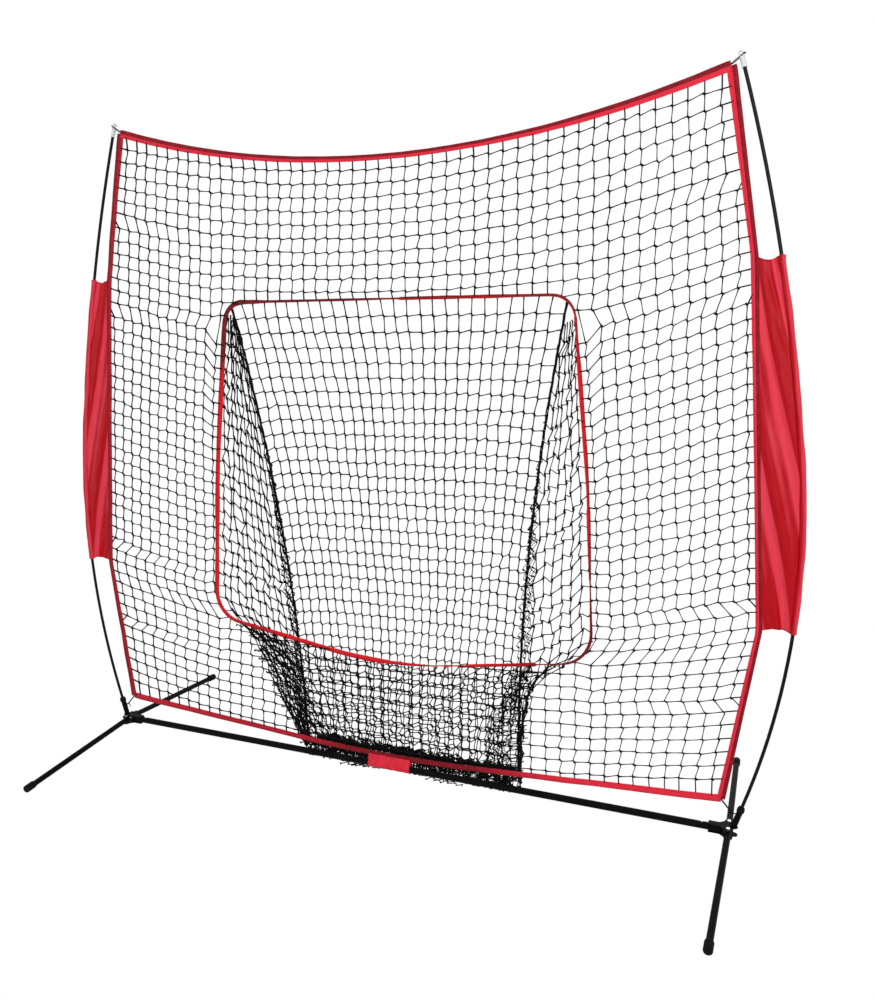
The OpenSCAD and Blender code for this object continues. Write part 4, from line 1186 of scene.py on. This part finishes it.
def make_panel(side, sign):
    """A side panel of satin with lengthwise and slanting folds, held taut between net and pole."""
    node = "side_panel_" + side
    n, m = 26, 130
    inner, outer = side_lines(node, sign, m)
    inner[:, 0] -= sign * SEWN_IN
    outer[:, 0] += sign * SEWN_IN
    points = np.zeros((n, m, 3))
    for i, share in enumerate(np.linspace(0.01, 0.99, n)):
        ends = []
        for end, pick in ((0, np.min), (-1, np.max)):
            x = inner[end, 0] + (outer[end, 0] - inner[end, 0]) * share
            ends.append(pick(crossing(node, 0, x - sign * SEWN_IN * (2 * share - 1))[:, 2]))
        z = np.linspace(*ends, m)
        a, b = read(inner, z), read(outer, z)
        points[i] = np.stack([a + (b - a) * i / (n - 1), 0 * z, z], -1)
    u = np.linspace(0, 1, n)[:, None]
    v = np.linspace(0, 1, m)
    broad = np.sin(TURN * (1.1 * u + 2.3 * v + 0.12 * np.sin(5 * v) + 0.3))
    narrow = np.sin(TURN * (2.4 * u + 4.1 * v + 0.4))
    folds = 0.0062 * broad + 0.0030 * narrow + 0.0008 * np.sin(TURN * (3.0 * u + 13 * v))
    # Painted highlight along the crests of the folds, carried as the fold mark
    painted_crest_highlight = 0.6 + 0.4 * broad + 0.3 * narrow
    points[..., 1] = np.sin(math.pi * u) ** 0.8 * folds
    if sign < 0:
        points, painted_crest_highlight = points[::-1], painted_crest_highlight[::-1]
    made = Shape()
    made.add(*cloth(leaned(points), PANEL_T), np.tile(painted_crest_highlight.reshape(-1), 2))
    piece = made.piece("panel_cloth_" + side, "panel_red", (node,))


def make_sleeve(side, sign):
    """The cloth round the pole at the panel's outer edge, up its outer wall and down its inner one."""
    node = "pole_sleeve_" + side
    inner, outer = side_lines(node, sign, 120)
    space = leaned(resample((outer + inner) / 2, 150))
    radius = float(np.median(np.abs(outer[:, 0] - inner[:, 0]))) / 2
    n, m = len(space), 20
    turn = np.linspace(0, TURN, m, endpoint=False)
    k = np.arange(n)[:, None]
    ripple = 0.0006 * np.sin(3 * turn + 0.21 * k) + 0.0004 * np.sin(2 * turn - 0.33 * k)
    ring = circle(m) * (radius + ripple - 0.0002)[..., None]
    across, out = beside(space, NET_X)
    wall = ring[..., :1] * across[:, None] + ring[..., 1:] * out[:, None]
    inside = space[:, None] + wall * (1 - SLEEVE_T / radius)
    points = np.concatenate([space[:, None] + wall, inside[::-1]]).reshape(-1, 3)
    made = Shape()
    # The marks paint a highlight on one side of the sleeve and shade on the other
    made.add(points, ring_faces(2 * n, m, True), np.tile(0.6 + 0.35 * np.cos(turn), 2 * n))
    made.piece("sleeve_cloth_" + side, "panel_red", (node,))


def make_strap():
    node = "bar_strap"
    z_low, z_high = lowest_highest(node)
    low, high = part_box(node)
    levels = np.linspace(z_high - 0.0006, z_low + 0.0006, 60)
    front, rear = (probe_line(node, [(0, way, z) for z in levels], (0, -way, 0)) for way in (-1, 1))
    path = resample(np.concatenate([front, rear[::-1]]), 84)
    n, m = 34, len(path)
    u = np.linspace(0, 1, n)[:, None]
    points = np.repeat(path[None], n, 0)
    points[..., 0] = low.x + (high.x - low.x) * u
    outwards = unit(path - path.mean(0))
    ripple = 0.0005 * np.sin(34 * u + 5 * np.linspace(0, 1, m))
    hem = -0.0004 * (np.abs(u - 0.5) > 0.44)
    points += (ripple + hem - 0.0008)[..., None] * outwards
    made = Shape()
    made.add(*cloth(leaned(points), STRAP_T))
    for x in (low.x + 0.005, high.x - 0.005):
        path[:, 0] = x
        stitch(made, leaned(path + 0.0003 * outwards), np.tile(NET_X, (m, 1)), 0, 0.0001)
    made.piece("strap_web", "strap_red", (node,))


def make_loop(node):
    """An elastic cord loop, on the CAD loop's own line."""
    points = np.array([v.co for v in nodes[node].data.vertices])
    mid = points.mean(0)
    spread = np.linalg.svd(points - mid)[2]
    flat = (points - mid) @ spread[:2].T
    turn = np.arctan2(flat[:, 1], flat[:, 0])
    bins = np.linspace(-math.pi, math.pi, 25)
    parts = [points[(turn >= a) & (turn < b)] for a, b in zip(bins[:-1], bins[1:])]
    line = np.array([part.mean(0) for part in parts if len(part)])
    line = resample(np.concatenate([line, line[:1]]), 61)[:-1]
    made = Shape()
    for k in range(2):
        way = np.linspace(0, TURN * 14, len(line), endpoint=False)[:, None] + k * math.pi
        off = 0.0005 * (np.cos(way) * spread[2] + np.sin(way) * (mid - line) / 0.02)
        made.tube(line + off, 0.0011, 6, closed=True)
    made.piece(node + "_elastic", "elastic_black", (node,))


def make_neck(side, sign):
    """The dark moulded filler that closes a hub bracket's neck between its two plates."""
    low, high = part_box("crossbar_" + side)
    mouth = low.x if sign < 0 else high.x
    # Distance beyond the crossbar's mouth, and size
    stations = np.array([(0.0006, 0.94), (0.0030, 1.0), (0.032, 1.0), (0.040, 0.9), (0.043, 0.6)])
    shape = np.sign(circle(24)) * np.abs(circle(24)) ** 0.35
    line = np.array([(mouth + sign * run, 0, BAR_Z) for run, _ in stations])
    made = Shape()
    made.sweep(line, shape * (0.9 * BAR_R * stations[:, 1])[:, None, None], np.array((0, 1.0, 0)))
    made.piece("hub_neck_" + side, "powder_black")


bind("web_right", edge_outer, edge_inner, "binding_right", 81)
bind("web_left", edge_outer * mirrored, edge_inner * mirrored, "binding_left", 84, LEFT_PAINTED_SHADE)
bind("web_top", top_outer, top_inner, "binding_top", 87, TOP_PAINTED_SHADE)
bind("web_bottom", low_outer, low_inner, "binding_bottom", 90, LOW_PAINTED_SHADE, 0.7)
make_ring()
for side, sign in SIDES.items():
    make_panel(side, sign)
for side, sign in SIDES.items():
    make_sleeve(side, sign)
make_strap()
for side in SIDES:
    make_loop("upper_loop_" + side)
    make_loop("lower_loop_" + side)
for side, sign in SIDES.items():
    make_neck(side, sign)
